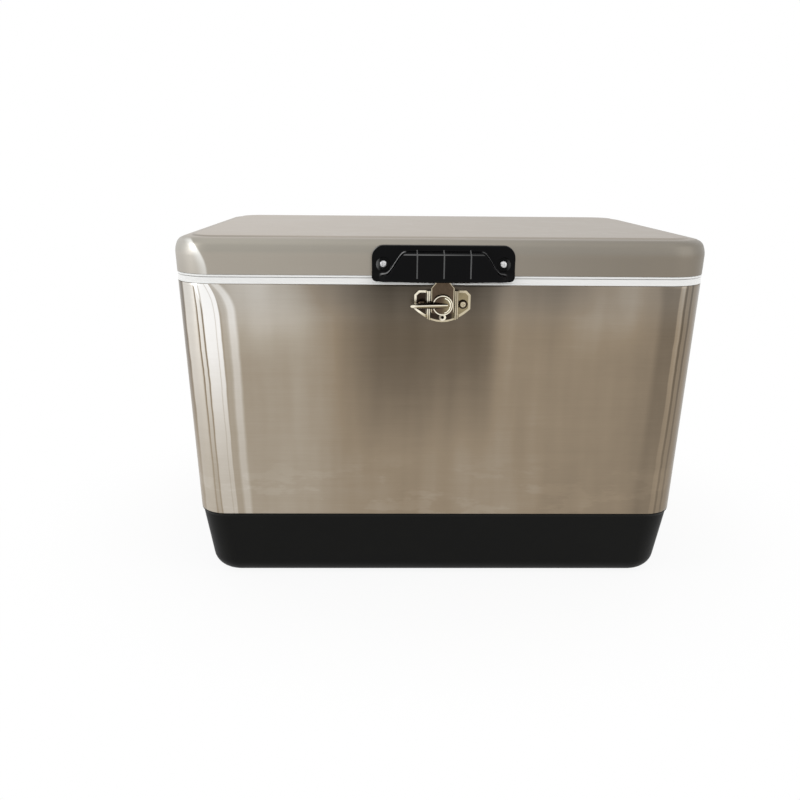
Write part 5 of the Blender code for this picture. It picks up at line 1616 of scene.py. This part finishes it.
def leverPaint(tree, place):
    # painted highlight along its front edge and tip, painted shade on its upper side and at its root, brown
    # to tan below
    s, t = turret, leverTone
    along, out, up = wallAxes(tree, place, latch["height"])
    side = rangeNode(tree, up, -t["half"], t["half"], 0.0, 1.0, "LINEAR")
    base = rampNode(tree, side, [(stop, nickel[name]) for stop, name in t["stops"]])
    base = mixColours(tree, fadeIn(tree, out, t["root"], s["rootReach"]), nickel["deep"], base)
    tip = times(tree, fadeOut(tree, along, t["tip"], -s["leverLength"]), t["tipAmount"])
    return shadedPair(tree, mixColours(tree, tip, base, nickel["bright"]))


def screwPaint(tree, place):
    # heads painted as lit, brown on the left screw and paler on the right, with a ring of painted shade round
    # each
    along, _, up = wallAxes(tree, place, latch["height"])
    far = radiusNode(tree, minus(tree, unsigned(tree, along), latch["screwOffset"]), up)
    bright = mixColours(tree, fadeIn(tree, along, (-4.0, 4.0)), nickel["brown"], nickel["mid"])
    return shadedPair(tree, mixColours(tree, fadeIn(tree, far, (2.7, 3.2)), bright, nickel["brown"]))


for name, paint in (
    ("latchPlate", platePaint), ("latchTongue", tonguePaint), ("latchTurret", turretPaint),
    ("latchLever", leverPaint), ("latchScrew", screwPaint),
):
    finishes[name] = platedMaterial(name + "Nickel", None, None, 0.24, paint)


def latchPiece(name, bm, body, node, smooth=40, finish=None):
    return dress(name, bm, "latch_nickel", body, node, latchPlace, smooth, finish or name)


def plateFoot(along):
    share = along / latch["plateHalf"]
    return share**2 * (latch["plateFall"] - latch["sideFall"]) - latch["plateFall"]


def plateHead(along):
    past = max(abs(along) - (latch["plateHalf"] - latch["chamfer"]), 0.0)
    return latch["plateRise"] - past


def plateOut(along, up):
    # front of the pressed sheet: wings, two standing ribs, channel, dimples and a raised border
    s = latch
    wing, floor, reach = fit + s["sheet"], s["channelFloor"], s["ribReach"]
    ribStart, ribEnd = s["channel"], s["channel"] + s["rib"]
    footRound, topRound = s["rounds"]
    run = softPath([
        (0, floor, 0), (ribStart, floor, footRound), (ribStart + s["ribSlope"], reach, topRound),
        (ribEnd - s["ribSlope"], reach, topRound), (ribEnd, wing, footRound), (40, wing, 0),
    ], 5)
    across = abs(along)
    out = wing
    for first, second in zip(run, run[1:]):
        if first.x <= across <= second.x:
            share = (across - first.x) / max(second.x - first.x, 0.0001)
            out = first.y + (second.y - first.y) * share
            break
    if across > ribEnd + 0.3:
        far = math.hypot(across - s["screwOffset"], up)
        out -= s["dimpleDepth"] * smoothStep((s["dimple"] + 0.6 - far) / 1.2)
        rimGap = min(
            s["plateHalf"] - across, plateHead(along) - up, (up - plateFoot(along)) * 0.85,
            (s["plateHalf"] + s["plateRise"] - s["chamfer"] - across - up) * 0.7,
        )
        out += s["borderRise"] * smoothStep((s["border"] + 0.5 - rimGap) / 0.8)
    return out


def makeLatchPlate():
    s = latch
    marks = list(s["columns"]) + [s["wingColumn"] + s["columnStep"] * step for step in range(20)]
    marks = [mark for mark in marks if mark < s["plateHalf"]] + [s["plateHalf"]]
    columns = [-mark for mark in marks[:0:-1]] + marks
    bm = bmesh.new()
    bmesh.ops.create_grid(bm, x_segments=len(columns) - 1, y_segments=s["rows"], size=0.5)
    for vert in bm.verts:
        along = columns[round((vert.co.x + 0.5) * (len(columns) - 1))]
        foot, head = plateFoot(along), plateHead(along)
        up = foot + (head - foot) * (vert.co.y + 0.5)
        vert.co = (along, -plateOut(along, up), up)
    piece = latchPiece("latchPlate", bm, "chest", "latch_plate", 50)
    thicken(piece, s["sheet"], edge=s["edge"])
    return piece


def tongueOut(up):
    s = tongue
    raised = latch["channelFloor"] + s["lift"]
    return raised + (fit - raised) * smoothStep((up - (latchSkirt + fit - s["bend"])) / s["bend"])


def makeTongue():
    s = tongue
    half, throat, window, bottom = s["half"], s["throat"], s["window"], -s["fall"]
    neckRound, shoulderRound, throatRound = s["rounds"]
    right = softPath([
        (s["neck"], latchSkirt + s["rise"], 0), (s["neck"], s["shoulder"] + s["flare"], neckRound),
        (half, s["shoulder"], shoulderRound), (half, bottom, s["round"]), (throat, bottom, throatRound),
        (throat, s["throatTop"], 0),
    ], 4)
    start = math.atan(throat / math.sqrt(window**2 - throat**2))
    turnSteps = 18
    angles = [start + (math.pi - start) * step / turnSteps for step in range(turnSteps + 1)]
    side = [tuple(point) for point in right[:-1]]
    side += [(window * math.sin(angle), -window * math.cos(angle)) for angle in angles]
    outline = side + [(-along, up) for along, up in side[-2::-1]]
    bm = bmesh.new()
    bm.faces.new([bm.verts.new((along, 0.0, up)) for along, up in outline])
    for step in range(9):
        height = latchSkirt + fit - s["bend"] * (1 - step / 8)
        bmesh.ops.bisect_plane(
            bm, geom=bm.verts[:] + bm.edges[:] + bm.faces[:],
            plane_co=(0, 0, height), plane_no=(0, 0, 1), dist=0.0001,
        )
    for vert in bm.verts:
        vert.co.y = -(tongueOut(vert.co.z) + s["sheet"])
    piece = latchPiece("latchTongue", bm, "lid", "latch_tongue")
    thicken(piece, s["sheet"], edge=s["edge"])
    return piece


def makeTurret():
    s = turret
    back, front, edge = turretBack, turretFront, s["disc"]
    outer, floorEnd, inner = s["groove"]
    floor = front - s["grooveDepth"]
    disc = softPath([
        (s["stud"], back, 0), (edge, back, 0.6), (edge, front, 0.8), (edge - s["rim"], front, 0.25),
        (edge - outer, floor, 0.2), (edge - floorEnd, floor, 0.2), (edge - inner, front, 0.25),
        (0.0, front + 0.05, 0),
    ], 4)
    gap, end = s["studGap"], s["studEnd"]
    stud = [(0.0, gap), (end - 0.3, gap), (end, gap + 0.3), (end, s["studTop"]), (s["stud"], s["studTop"])]
    bm = turnedMesh(stud + disc, 64)

    # neck: the round rod's two flats pass the tongue's throat
    corner = math.atan(s["neckShort"] / math.sqrt(s["neckLong"] ** 2 - s["neckShort"] ** 2))
    angles = [corner * (2 * step / 8 - 1) for step in range(9)]
    side = [(s["neckLong"] / 2 * math.sin(angle), s["neckLong"] / 2 * math.cos(angle)) for angle in angles]
    addSlab(bm, side + [(-along, -up) for along, up in side], latch["channelFloor"] + fit, back + fit)
    return latchPiece("latchTurret", bm, "turret", "latch_turret")


def makeEye():
    # padlock eye on its tail, below the disc
    s = turret
    opening, arcSteps = math.atan(s["tail"] / 2 / s["eye"]), 32
    angles = [opening + (math.tau - 2 * opening) * step / arcSteps for step in range(arcSteps + 1)]
    outline = [(s["eye"] * math.sin(angle), s["eye"] * math.cos(angle) - s["eyeDrop"]) for angle in angles]
    outline += [(-s["tail"] / 2, -s["ridgeArc"] / 2), (s["tail"] / 2, -s["ridgeArc"] / 2)]
    bm = addSlab(bmesh.new(), outline, s["eyeBack"], s["eyeBack"] + s["eyeSheet"], edge=s["eyeEdge"])
    piece = latchPiece("latchEye", bm, "turret", "latch_turret", finish="latchTurret")
    hole = cylinder(s["eyeHole"], 2.0, 20.0, 28)
    bmesh.ops.translate(hole, vec=(0, 0, -s["eyeDrop"]), verts=hole.verts)
    carve(piece, [hole], latchPlace, smooth=40)
    return piece


def makeRidge():
    # raised C ridge on the disc, open towards the lever
    s = turret
    bm = bmesh.new()
    sink = 0.2
    verts = []
    for step in range(9):
        angle = math.pi * step / 8
        radius = s["ridgeArc"] + s["ridgeWidth"] / 2 * math.cos(angle)
        out = turretFront - sink + (s["ridgeRise"] + sink) * math.sin(angle)
        verts.append(bm.verts.new((radius, -out, 0.0)))
    face = bm.faces.new(verts)
    spread = math.radians(s["ridgeSpread"])
    bmesh.ops.rotate(bm, cent=(0, 0, 0), matrix=Matrix.Rotation(spread, 3, "Y"), verts=verts)
    bmesh.ops.spin(bm, geom=[face], cent=(0, 0, 0), axis=(0, 1, 0), angle=-2 * spread, steps=36)
    return latchPiece("latchRidge", bm, "turret", "latch_turret", finish="latchTurret")


def makeLever():
    # wedge blade: broad at the disc, thin along its front, round at its tip
    s = turret
    clear = latch["ribReach"] + s["ribClear"]
    sections = []
    for step in range(19):
        share = 1 - (1 - step / 18) ** 1.25
        along = s["leverRoot"] - (s["leverRoot"] + s["leverLength"]) * share
        swell = min(share / 0.33, 1.0)
        fade = max((share - 0.5) / 0.5, 0.0)
        nearTip = max((share - 0.9) / 0.1, 0.0)
        tip = math.sqrt(1 - nearTip**2 * 0.82)
        half = (s["leverHalf"] * (1 + swell) / 2 * (1 - fade) + s["leverTip"] * fade) * tip
        rear = clear + (s["tipBack"] - clear) * share**2
        fore = s["rootReach"] + (s["tipReach"] - s["rootReach"]) * share
        middle, depth = (fore + rear) / 2, (fore - rear) / 2 * tip
        edge = (s["leverFront"] + 0.2) * tip
        # (share of the depth, half width) from the back to the front edge, on the lower side
        lower = [(middle + depth * deep, -width) for deep, width in (
            (-1, half * 0.55), (-0.75, half * 0.9), (-0.35, half * 0.92),
            (0.75, edge * 1.25), (1, edge * 0.5),
        )]
        ring = lower + [(out, -up) for out, up in lower[::-1]]
        sections.append([(along, -out, up) for out, up in ring])
    piece = latchPiece("latchLever", loftLoops(bmesh.new(), sections), "turret", "latch_turret", 70)
    soft = piece.modifiers.new("soft", "SUBSURF")
    soft.levels = soft.render_levels = 2
    return piece


makeLatchPlate()
makeTongue()
makeTurret()
makeEye()
makeRidge()
makeLever()
screwOut = latch["sheet"] - latch["dimpleDepth"] + 2 * fit
for name, sign, turn in (("left", -1, 0.2), ("right", 1, 0.9)):
    seat = near(latchPlace, sign * latch["screwOffset"], 0.0, screwOut)
    placeScrew(f"latch_screw_{name}", seat, "chest", "latch_nickel", turn, "latchScrew")
    rise = latchSkirt + tongue["rivetRise"]
    seat = near(latchPlace, sign * tongue["rivetSpacing"] / 2, rise, tongue["sheet"] + 2 * fit)
    placeRivet(f"latch_tongue_rivet_{name}", seat, "lid")
print("latch made")


# hinges on the back
hinge = {
    "places": {"left": 198.0, "right": -198.0},
    "height": 368.6,
    "half": 25.0,
    "sheet": 1.5,
    "barrel": 3.6,
    "pin": 1.9,
    "clearance": 0.8,
    "knuckle": 8.6,
    "gap": 0.4,
    "lidLeaf": 24.0,
    "bodyLeaf": 30.0,
    "corner": 4.0,
    "edge": 0.4,
    "webLap": 2.0,
    "boreGap": 0.25,
    "lidScrewRise": 14.5,
    "bodyScrewDrop": 20.0,
    "screwSpacing": 15.0,
    "pinHead": 2.8,
    "pinPlay": 0.3,
    "headSheet": 1.0,
    "headEdge": 0.6,
}


def makeHingeLeaf(name, part, body, place):
    s = hinge
    clear = s["barrel"] + s["clearance"]
    if part == "lid":
        low, high, root, away = clear, s["lidLeaf"], clear, 1
        knuckles = [(-s["knuckle"], s["knuckle"])]
    else:
        low, high, root, away = -s["bodyLeaf"], -clear, -clear, -1
        inner = s["knuckle"] + s["gap"]
        knuckles = [(-s["half"], -inner), (inner, s["half"])]
    middle = (low + high) / 2
    rounded = roundBar(s["half"], (high - low) / 2, s["corner"], 5)
    outline = [(along, up + middle) for along, up in rounded]
    outline = [point for point in outline if (point[1] < middle) == (part == "body")]
    outline += [(-away * s["half"], root), (away * s["half"], root)]
    bm = addSlab(bmesh.new(), outline, fit, fit + s["sheet"], edge=s["edge"])
    bore, barrel, toward = s["pin"] + s["boreGap"], s["barrel"], root + away * s["webLap"]
    for start, end in knuckles:
        web = [(start, 0.0), (end, 0.0), (end, toward), (start, toward)]
        addSlab(bm, web[::away], fit, fit + s["sheet"])
        tube = turnedMesh(softPath([
            (bore, start, 0), (barrel, start, s["edge"]), (barrel, end, s["edge"]), (bore, end, 0),
        ], 3), 36, closed=True)
        quarter = Matrix.Rotation(-math.pi / 2, 3, "Z")
        bmesh.ops.rotate(tube, cent=(0, 0, 0), matrix=quarter, verts=tube.verts)
        bmesh.ops.translate(tube, vec=(0, -(fit + barrel), 0), verts=tube.verts)
        joinInto(bm, tube)
    node = f"hinge_{name}_{part}_leaf"
    dress(node + "_dressed", bm, "zinc_steel", body, node, place)
    row = s["lidScrewRise"] if part == "lid" else -s["bodyScrewDrop"]
    for letter, sign in (("a", -1), ("b", 1)):
        seat = near(place, sign * s["screwSpacing"], row, s["sheet"] + 2 * fit)
        placeScrew(f"hinge_{name}_{part}_screw_{letter}", seat, body, turn=0.4 * sign + row)


def makeHingePin(name, place):
    s = hinge
    pin, head = s["pin"], s["pinHead"]
    reach = s["half"] + s["pinPlay"]
    tip = reach + s["headSheet"]
    profile = softPath([
        (0.0, -tip, 0), (head, -tip, s["headEdge"]), (head, -reach, 0), (pin, -reach, 0),
        (pin, reach, 0), (head, reach, 0), (head, tip, s["headEdge"]), (0.0, tip, 0),
    ], 4)
    axis = near(place, 0, 0, fit + s["barrel"]) @ Matrix.Rotation(-math.pi / 2, 4, "Z")
    node = f"hinge_{name}_pin"
    dress(node + "_dressed", turnedMesh(profile, 28), "zinc_steel", "chest", node, axis)


for name, along in hinge["places"].items():
    place = site("back", hinge["height"], along)
    makeHingeLeaf(name, "lid", "lid", place)
    makeHingeLeaf(name, "body", "chest", place)
    makeHingePin(name, place)
print("hinges made")


# side handles
side = {
    "pivotHeight": 275.0,
    "pivotOut": 12.5,
    "spacing": 75.0,
    "bracketWidth": 12.0,
    "bracketHeight": 25.0,
    "sheet": 3.0,
    "corner": 6.0,
    "earHalf": 6.0,
    "ear": 7.0,
    "earFoot": 11.0,
    "screwRise": 18.0,
    "rod": 3.0,
    "drop": 58.0,
    "bend": 8.0,
    "gripHalf": 44.0,
    "gripMiddle": 10.5,
    "gripEnd": 8.5,
    "plateEdge": 0.9,
    "earFlare": 1.5,
    "earRoot": (0.6, 2.6),  # out from the wall: its sunk foot and the flare's end
    "earSweep": 0.94,
    "earEdge": 0.7,
    "rodTail": (2.5, 1.0, 2.0),  # past the ear, clear of it, and the straight that starts in it
    "rodEdge": 0.6,
    "gripPlay": 0.4,
    "gripRound": 1.2,
    "grooveDepth": 0.45,
    "grooveShare": 0.78,  # of the grip's half length
    "groovePitch": 0.078,
}


def makeBracket(name, place):
    s = side
    plate = roundBar(s["bracketWidth"], s["bracketHeight"], s["corner"], 6)
    bm = addSlab(bmesh.new(), plate, fit, fit + s["sheet"], edge=s["plateEdge"], steps=3)
    foot, flare = s["earRoot"]
    section = [(foot, -s["earFoot"] - s["earFlare"]), (flare, -s["earFoot"])]
    for step in range(17):
        angle = math.pi * (step / 16 - 0.5) * s["earSweep"]
        section.append((s["pivotOut"] + s["ear"] * math.cos(angle), s["ear"] * math.sin(angle)))
    section += [(flare, s["earFoot"]), (foot, s["earFoot"] + s["earFlare"])]
    ear = bmesh.new()
    face = ear.faces.new([ear.verts.new((-s["earHalf"], -out, up)) for out, up in section])
    grown = bmesh.ops.extrude_face_region(ear, geom=[face])["geom"]
    lifted = [item for item in grown if isinstance(item, bmesh.types.BMVert)]
    bmesh.ops.translate(ear, verts=lifted, vec=(2 * s["earHalf"], 0, 0))
    rim = [edge for edge in ear.edges if abs(edge.verts[0].co.x - edge.verts[1].co.x) < 0.01]
    bmesh.ops.bevel(
        ear, geom=rim, offset=s["earEdge"], segments=3, profile=0.5, affect="EDGES", material=-1,
    )
    joinInto(bm, ear)
    return dress(name + "_dressed", bm, "black_moulding", "chest", name, place)


def bailRun():
    # (along, up) of the rod's middle: both ears, two bends each and the grip's straight
    s = side
    past, inside, straight = s["rodTail"]
    bend = s["bend"]
    ear = s["spacing"] - s["earHalf"] - inside
    leg = ear - bend
    angles = [math.pi / 2 * step / 12 for step in range(13)]
    half = [(s["spacing"] + s["earHalf"] + past, 0.0), (ear + straight, 0.0)]
    half += [(ear - bend * math.sin(angle), bend * (math.cos(angle) - 1)) for angle in angles]
    half += [
        (leg - bend * (1 - math.cos(angle)), bend * (1 - math.sin(angle)) - s["drop"]) for angle in angles
    ]
    return half + [(-along, up) for along, up in half[::-1]]


def makeBail(name, upright, body):
    s = side
    run = [Vector((along, 0.0, up)) for along, up in bailRun()]
    last = len(run) - 1
    level = Vector((0, 1, 0))
    sections = []
    for index, point in enumerate(run):
        ahead = (run[min(index + 1, last)] - run[max(index - 1, 0)]).normalized()
        across = ahead.cross(level)
        radius = s["rod"] - (s["rodEdge"] if index in (0, last) else 0.0)
        ring = []
        for step in range(20):
            angle = math.tau * step / 20
            ring.append(point + radius * (math.cos(angle) * across + math.sin(angle) * level))
        sections.append(ring)
    node = f"side_handle_{name}_bail"
    dress(node + "_dressed", loftLoops(bmesh.new(), sections), "zinc_steel", body, node, upright, 50)


def makeGrip(name, upright, body):
    # barrel grip with shallow finger grooves
    s = side
    length, bore, edge = s["gripHalf"], s["rod"] + s["gripPlay"], s["gripRound"]
    profile = [(bore, -length)]
    steps = 120
    for step in range(steps + 1):
        share = step * 2 / steps - 1
        radius = s["gripMiddle"] - (s["gripMiddle"] - s["gripEnd"]) * share**2
        if abs(share) < s["grooveShare"]:
            wave = 0.5 + 0.5 * math.cos(share / s["groovePitch"] * math.pi)
            radius -= s["grooveDepth"] * wave**3
        end = length - abs(length * share)
        if end < edge:
            radius -= edge - math.sqrt(max(edge**2 - (edge - end) ** 2, 0.0))
        profile.append((radius, length * share))
    profile.append((bore, length))
    turn = upright @ Matrix.Translation((0, 0, -s["drop"])) @ Matrix.Rotation(-math.pi / 2, 4, "Z")
    node = f"side_handle_{name}_grip"
    dress(node + "_dressed", turnedMesh(profile, 40, closed=True), "black_moulding", body, node, turn)


for name in ("left", "right"):
    place = site(name, side["pivotHeight"])
    for end, sign in (("front", -1), ("back", 1)):
        flip = -sign if name == "left" else sign
        seat = near(place, flip * side["spacing"], 0.0)
        bracket = f"side_handle_{name}_bracket_{end}"
        makeBracket(bracket, seat)
        for row, rise in (("low", -side["screwRise"]), ("high", side["screwRise"])):
            head = near(seat, 0, rise, side["sheet"] + 2 * fit)
            placeScrew(f"{bracket}_screw_{row}", head, "chest", turn=rise + sign)
    centre = near(place, 0, 0, side["pivotOut"]).translation
    upright = Matrix.Translation(centre) @ Matrix.Rotation(turns[name], 4, "Z")
    makeBail(name, upright, f"side_handle_{name}")
    makeGrip(name, upright, f"side_handle_{name}")
print("side handles made")


# drain on the right end
drain = {
    "height": 60.8,
    "spout": 8.8,
    "bore": 6.8,
    "snout": 10.5,
    "snoutLength": 9.0,
    "flange": 15.5,
    "flangeSheet": 2.5,
    "insideEnd": 8.0,
    "basePad": 18.0,
    "basePadRise": 1.5,
    "tubPad": 15.0,
    "tubPadRise": 3.5,
    "gasket": 14.8,
    "gasketSheet": 2.0,
    "nut": 12.0,
    "nutHeight": 6.5,
    "cap": 15.0,
    "flutes": 12,
    "flute": 0.7,
    "capTop": 2.8,
    "washer": 1.5,
    "passage": 9.2,
    "padEdge": 0.6,
    "padDepth": (12.0, 1.5),  # of the base's pad and the tub's
    "nutWave": 0.35,
    "nutWaves": 16,
    "capGap": 0.5,
    "capPlay": 0.45,
    "dish": (8.6, 9.3),
    "dishDepth": 0.7,
    "capRound": 1.6,
}


def makeDrain():
    s = drain
    place = Matrix.Translation((0, chest["middle"], s["height"])) @ Matrix.Rotation(turns["right"], 4, "Z")
    topWall = chest["halfWidth"] + (base["height"] - chest["measuredAt"]) * chest["slope"] - base["inset"]
    wall = topWall - (base["height"] - s["height"] - s["basePad"]) * base["slope"]
    face = wall + s["basePadRise"]
    inside = chest["halfWidth"] + (s["height"] - chest["measuredAt"]) * chest["slope"] - tub["wallInset"]
    tubFace = inside - s["tubPadRise"]
    baseTray, tubLiner = bpy.data.objects["baseTray"], bpy.data.objects["tubLiner"]

    edge, passage = s["padEdge"], s["passage"]
    baseDepth, tubDepth = s["padDepth"]
    pad = s["basePad"]
    basePad = turnedMesh([
        (0.0, wall - baseDepth), (pad, wall - baseDepth), (pad, face - edge), (pad - edge, face), (0.0, face),
    ], 64)
    pad, behind = s["tubPad"], inside + tubDepth
    tubPad = turnedMesh([
        (0.0, tubFace), (pad - edge, tubFace), (pad, tubFace + edge), (pad, behind), (0.0, behind),
    ], 56)
    carve(baseTray, [basePad], place, joined=True, smooth=40)
    carve(tubLiner, [tubPad], place, joined=True)
    for piece in (baseTray, tubLiner):
        carve(piece, [cylinder(passage, tubFace - 2, face + 2)], place, smooth=40)

    seal, sealFront = s["gasket"], face + fit + s["gasketSheet"]
    gasket = softPath([
        (passage, face + fit, 0), (seal, face + fit, 0.5), (seal, sealFront, 0.5), (passage, sealFront, 0),
    ], 3)
    dress("drainGasket", turnedMesh(gasket, 56, closed=True), "rubber", "chest", "drain_gasket", place)
    flange = sealFront + fit
    flangeFront = flange + s["flangeSheet"]
    snoutEnd = flangeFront + s["snoutLength"]
    innerEnd = tubFace - s["insideEnd"]
    spout = softPath([
        (s["bore"], innerEnd, 0), (s["spout"], innerEnd, 0.6), (s["spout"], flange, 0),
        (s["flange"], flange, 0.4), (s["flange"], flangeFront, 0.9), (s["snout"], flangeFront, 0.6),
        (s["snout"], snoutEnd, 0.6), (s["bore"], snoutEnd, 0.4),
    ], 3)
    spout = turnedMesh(spout, 56, closed=True)
    dress("drainSpout", spout, "white_plastic", "chest", "drain_spout", place)

    nutOut = tubFace - fit
    nutIn = nutOut - s["nutHeight"]
    wave = s["nutWave"]
    rings = [
        wavyRing(s["nut"] - shrink - wave, wave, s["nutWaves"], out, 96)
        for out, shrink in ((nutIn, 0.8), (nutIn + 0.8, 0.0), (nutOut - 0.5, 0.0), (nutOut, 0.5))
    ]
    nut = loftLoops(bmesh.new(), rings)
    piece = dress("drainNut", nut, "white_plastic", "chest", "drain_nut", place)
    carve(piece, [cylinder(passage, nutIn - 2, nutOut + 2)], place)

    snout, washerIn = s["snout"], snoutEnd + fit
    washerOut = washerIn + s["washer"]
    washer = softPath([
        (0.0, washerIn, 0), (snout, washerIn, 0.3), (snout, washerOut, 0.3), (0.0, washerOut, 0),
    ], 2)
    dress("drainCapWasher", turnedMesh(washer, 40), "rubber", "drain_washer", "drain_cap_washer", place)

    capFoot, roof = flangeFront + s["capGap"], washerOut + fit
    capTop = roof + s["capTop"]
    deep = s["flute"] / 2
    rings = [
        wavyRing(
            s["cap"] - deep - shrink, deep * max(1.0 - shrink / s["capRound"], 0.0),
            s["flutes"], out, s["flutes"] * 10,
        )
        for out, shrink in (
            (capFoot, 0.3), (capFoot + 0.3, 0.0), (capTop - 1.4, 0.0),
            (capTop - 0.7, 0.25), (capTop - 0.2, 0.8), (capTop, s["capRound"]),
        )
    ]
    cap = loftLoops(bmesh.new(), rings)
    cap = dress("drainCap", cap, "white_plastic", "drain_cap", "drain_cap", place, 40)
    inner = cylinder(snout + s["capPlay"], capFoot - 2, roof)
    low, high = s["dish"]
    dishFloor = capTop - s["dishDepth"]
    dish = turnedMesh([
        (0.0, dishFloor), (low, dishFloor), (high, capTop + 0.1), (high, capTop + 2), (0.0, capTop + 2),
    ], 48)
    carve(cap, [inner, dish], place, smooth=40)


makeDrain()
print("drain made")

# the inner pieces stay as packed and get their finish
unseen = {"lid_foam": "insulation", "body_foam": "insulation", "latch_turret_clip": "zinc_steel"}
for node, slotName in unseen.items():
    held = frame["nodes"][node].data.materials
    held.clear()
    held.append(finishes[slotName])


# floor, light and camera
stage = {
    "half": 6.0,
    "colour": (0.97, 0.97, 0.97),
    "rough": 0.9,
    "squeeze": (1.0, 1.2, 1.0),  # the shadow's pool is wider than it is deep
    "fadeStart": 0.33,
    "fadeEnd": 0.62,
    "fadeNear": 0.91,
    "surround": (0.80, 0.80, 0.80, 1.0),  # what lights the chest
    "backdrop": (1.0, 1.0, 1.0, 1.0),  # what the camera and shiny surfaces see
}


def stagePlane(name, size, height):
    bm = bmesh.new()
    bmesh.ops.create_grid(bm, x_segments=1, y_segments=1, size=size)
    bmesh.ops.translate(bm, vec=(0, 0, height), verts=bm.verts)
    mesh = bpy.data.meshes.new(name)
    bm.to_mesh(mesh)
    bm.free()
    plane = bpy.data.objects.new(name, mesh)
    bpy.context.scene.collection.objects.link(plane)
    return plane


def seenRays(tree):
    # 1 for rays from the camera, off shiny surfaces and through clear ones
    rays = tree.nodes.new("ShaderNodeLightPath").outputs
    direct = largest(tree, rays["Is Camera Ray"], rays["Is Glossy Ray"])
    return largest(tree, direct, rays["Is Transmission Ray"])


def floorMaterial():
    # pale floor that keeps the chest's shadow and fades to plain white further out
    s = stage
    made, tree, shader, place = startMaterial("paleFloor", 0.0, s["rough"])
    mottle = noiseNode(tree, place, 3.0, 2.0).outputs["Fac"]
    tree.links.new(tinted(tree, s["colour"], mottle, 0.01), shader.inputs["Base Color"])
    reach = tree.nodes.new("ShaderNodeVectorMath")
    reach.operation = "LENGTH"
    tree.links.new(stretched(tree, place, s["squeeze"]), reach.inputs[0])
    fade = rangeNode(tree, reach.outputs["Value"], s["fadeStart"], s["fadeEnd"], s["fadeNear"], 1.0)
    white = tree.nodes.new("ShaderNodeEmission")
    mix = tree.nodes.new("ShaderNodeMixShader")
    tree.links.new(times(tree, fade, seenRays(tree)), mix.inputs["Fac"])
    tree.links.new(shader.outputs[0], mix.inputs[1])
    tree.links.new(white.outputs[0], mix.inputs[2])
    tree.links.new(mix.outputs[0], tree.nodes["Material Output"].inputs["Surface"])
    return made


floor = stagePlane("floor", stage["half"], 0.0)
floor.data.materials.append(floorMaterial())

lights = {
    "over": {"place": (-0.2, -0.3, 2.6), "aim": (0, 0, 0.2), "size": (4.0, 3.2), "power": 7.0},
    "window": {"place": (-1.9, -0.75, 0.95), "aim": (0, 0, 0.25), "size": (0.35, 1.3), "power": 5.5},
    "fill": {"place": (2.2, -1.6, 1.3), "aim": (0, 0, 0.2), "size": (2.2, 2.2), "power": 7.0},
}


def addLight(name, place, aim, size, power):
    lamp = bpy.data.lights.new(name, "AREA")
    lamp.shape = "RECTANGLE"
    lamp.size, lamp.size_y = size
    lamp.energy = power
    holder = bpy.data.objects.new(name, lamp)
    bpy.context.scene.collection.objects.link(holder)
    holder.location = place
    holder.rotation_euler = (Vector(aim) - Vector(place)).to_track_quat("-Z", "Y").to_euler()
    return holder


for name, values in lights.items():
    addLight(name, **values)


def softWorld():
    world = bpy.data.worlds.new("softWorld")
    bpy.context.scene.world = world
    world.use_nodes = True
    tree = world.node_tree
    plain = tree.nodes["Background"]
    plain.inputs["Color"].default_value = stage["surround"]
    plain.inputs["Strength"].default_value = 1.0
    seen = tree.nodes.new("ShaderNodeBackground")
    seen.inputs["Color"].default_value = stage["backdrop"]
    seen.inputs["Strength"].default_value = 1.0
    mix = tree.nodes.new("ShaderNodeMixShader")
    tree.links.new(seenRays(tree), mix.inputs["Fac"])
    tree.links.new(plain.outputs[0], mix.inputs[1])
    tree.links.new(seen.outputs[0], mix.inputs[2])
    tree.links.new(mix.outputs[0], tree.nodes["World Output"].inputs["Surface"])


softWorld()

view = {
    "place": (-0.0625, -1.14295, 0.4885),
    "yaw": 1.02,
    "pitch": 15.48,
    "roll": 0.48,
    "lens": 38.25,
}


def addCamera():
    yaw, pitch, roll = (math.radians(view[name]) for name in ("yaw", "pitch", "roll"))
    ahead = Vector((math.sin(yaw) * math.cos(pitch), math.cos(yaw) * math.cos(pitch), -math.sin(pitch)))
    right = Vector((math.cos(yaw), -math.sin(yaw), 0.0))
    up = right.cross(ahead)
    across = math.cos(roll) * right + math.sin(roll) * up
    above = -math.sin(roll) * right + math.cos(roll) * up
    data = bpy.data.cameras.new("camera")
    data.lens = view["lens"]
    data.sensor_width = 36.0
    camera = bpy.data.objects.new("camera", data)
    bpy.context.scene.collection.objects.link(camera)
    facing = Matrix((across, above, -ahead)).transposed().to_4x4()
    camera.matrix_world = Matrix.Translation(view["place"]) @ facing
    bpy.context.scene.camera = camera


addCamera()
bpy.context.scene.view_settings.view_transform = "Standard"
print("stage set")
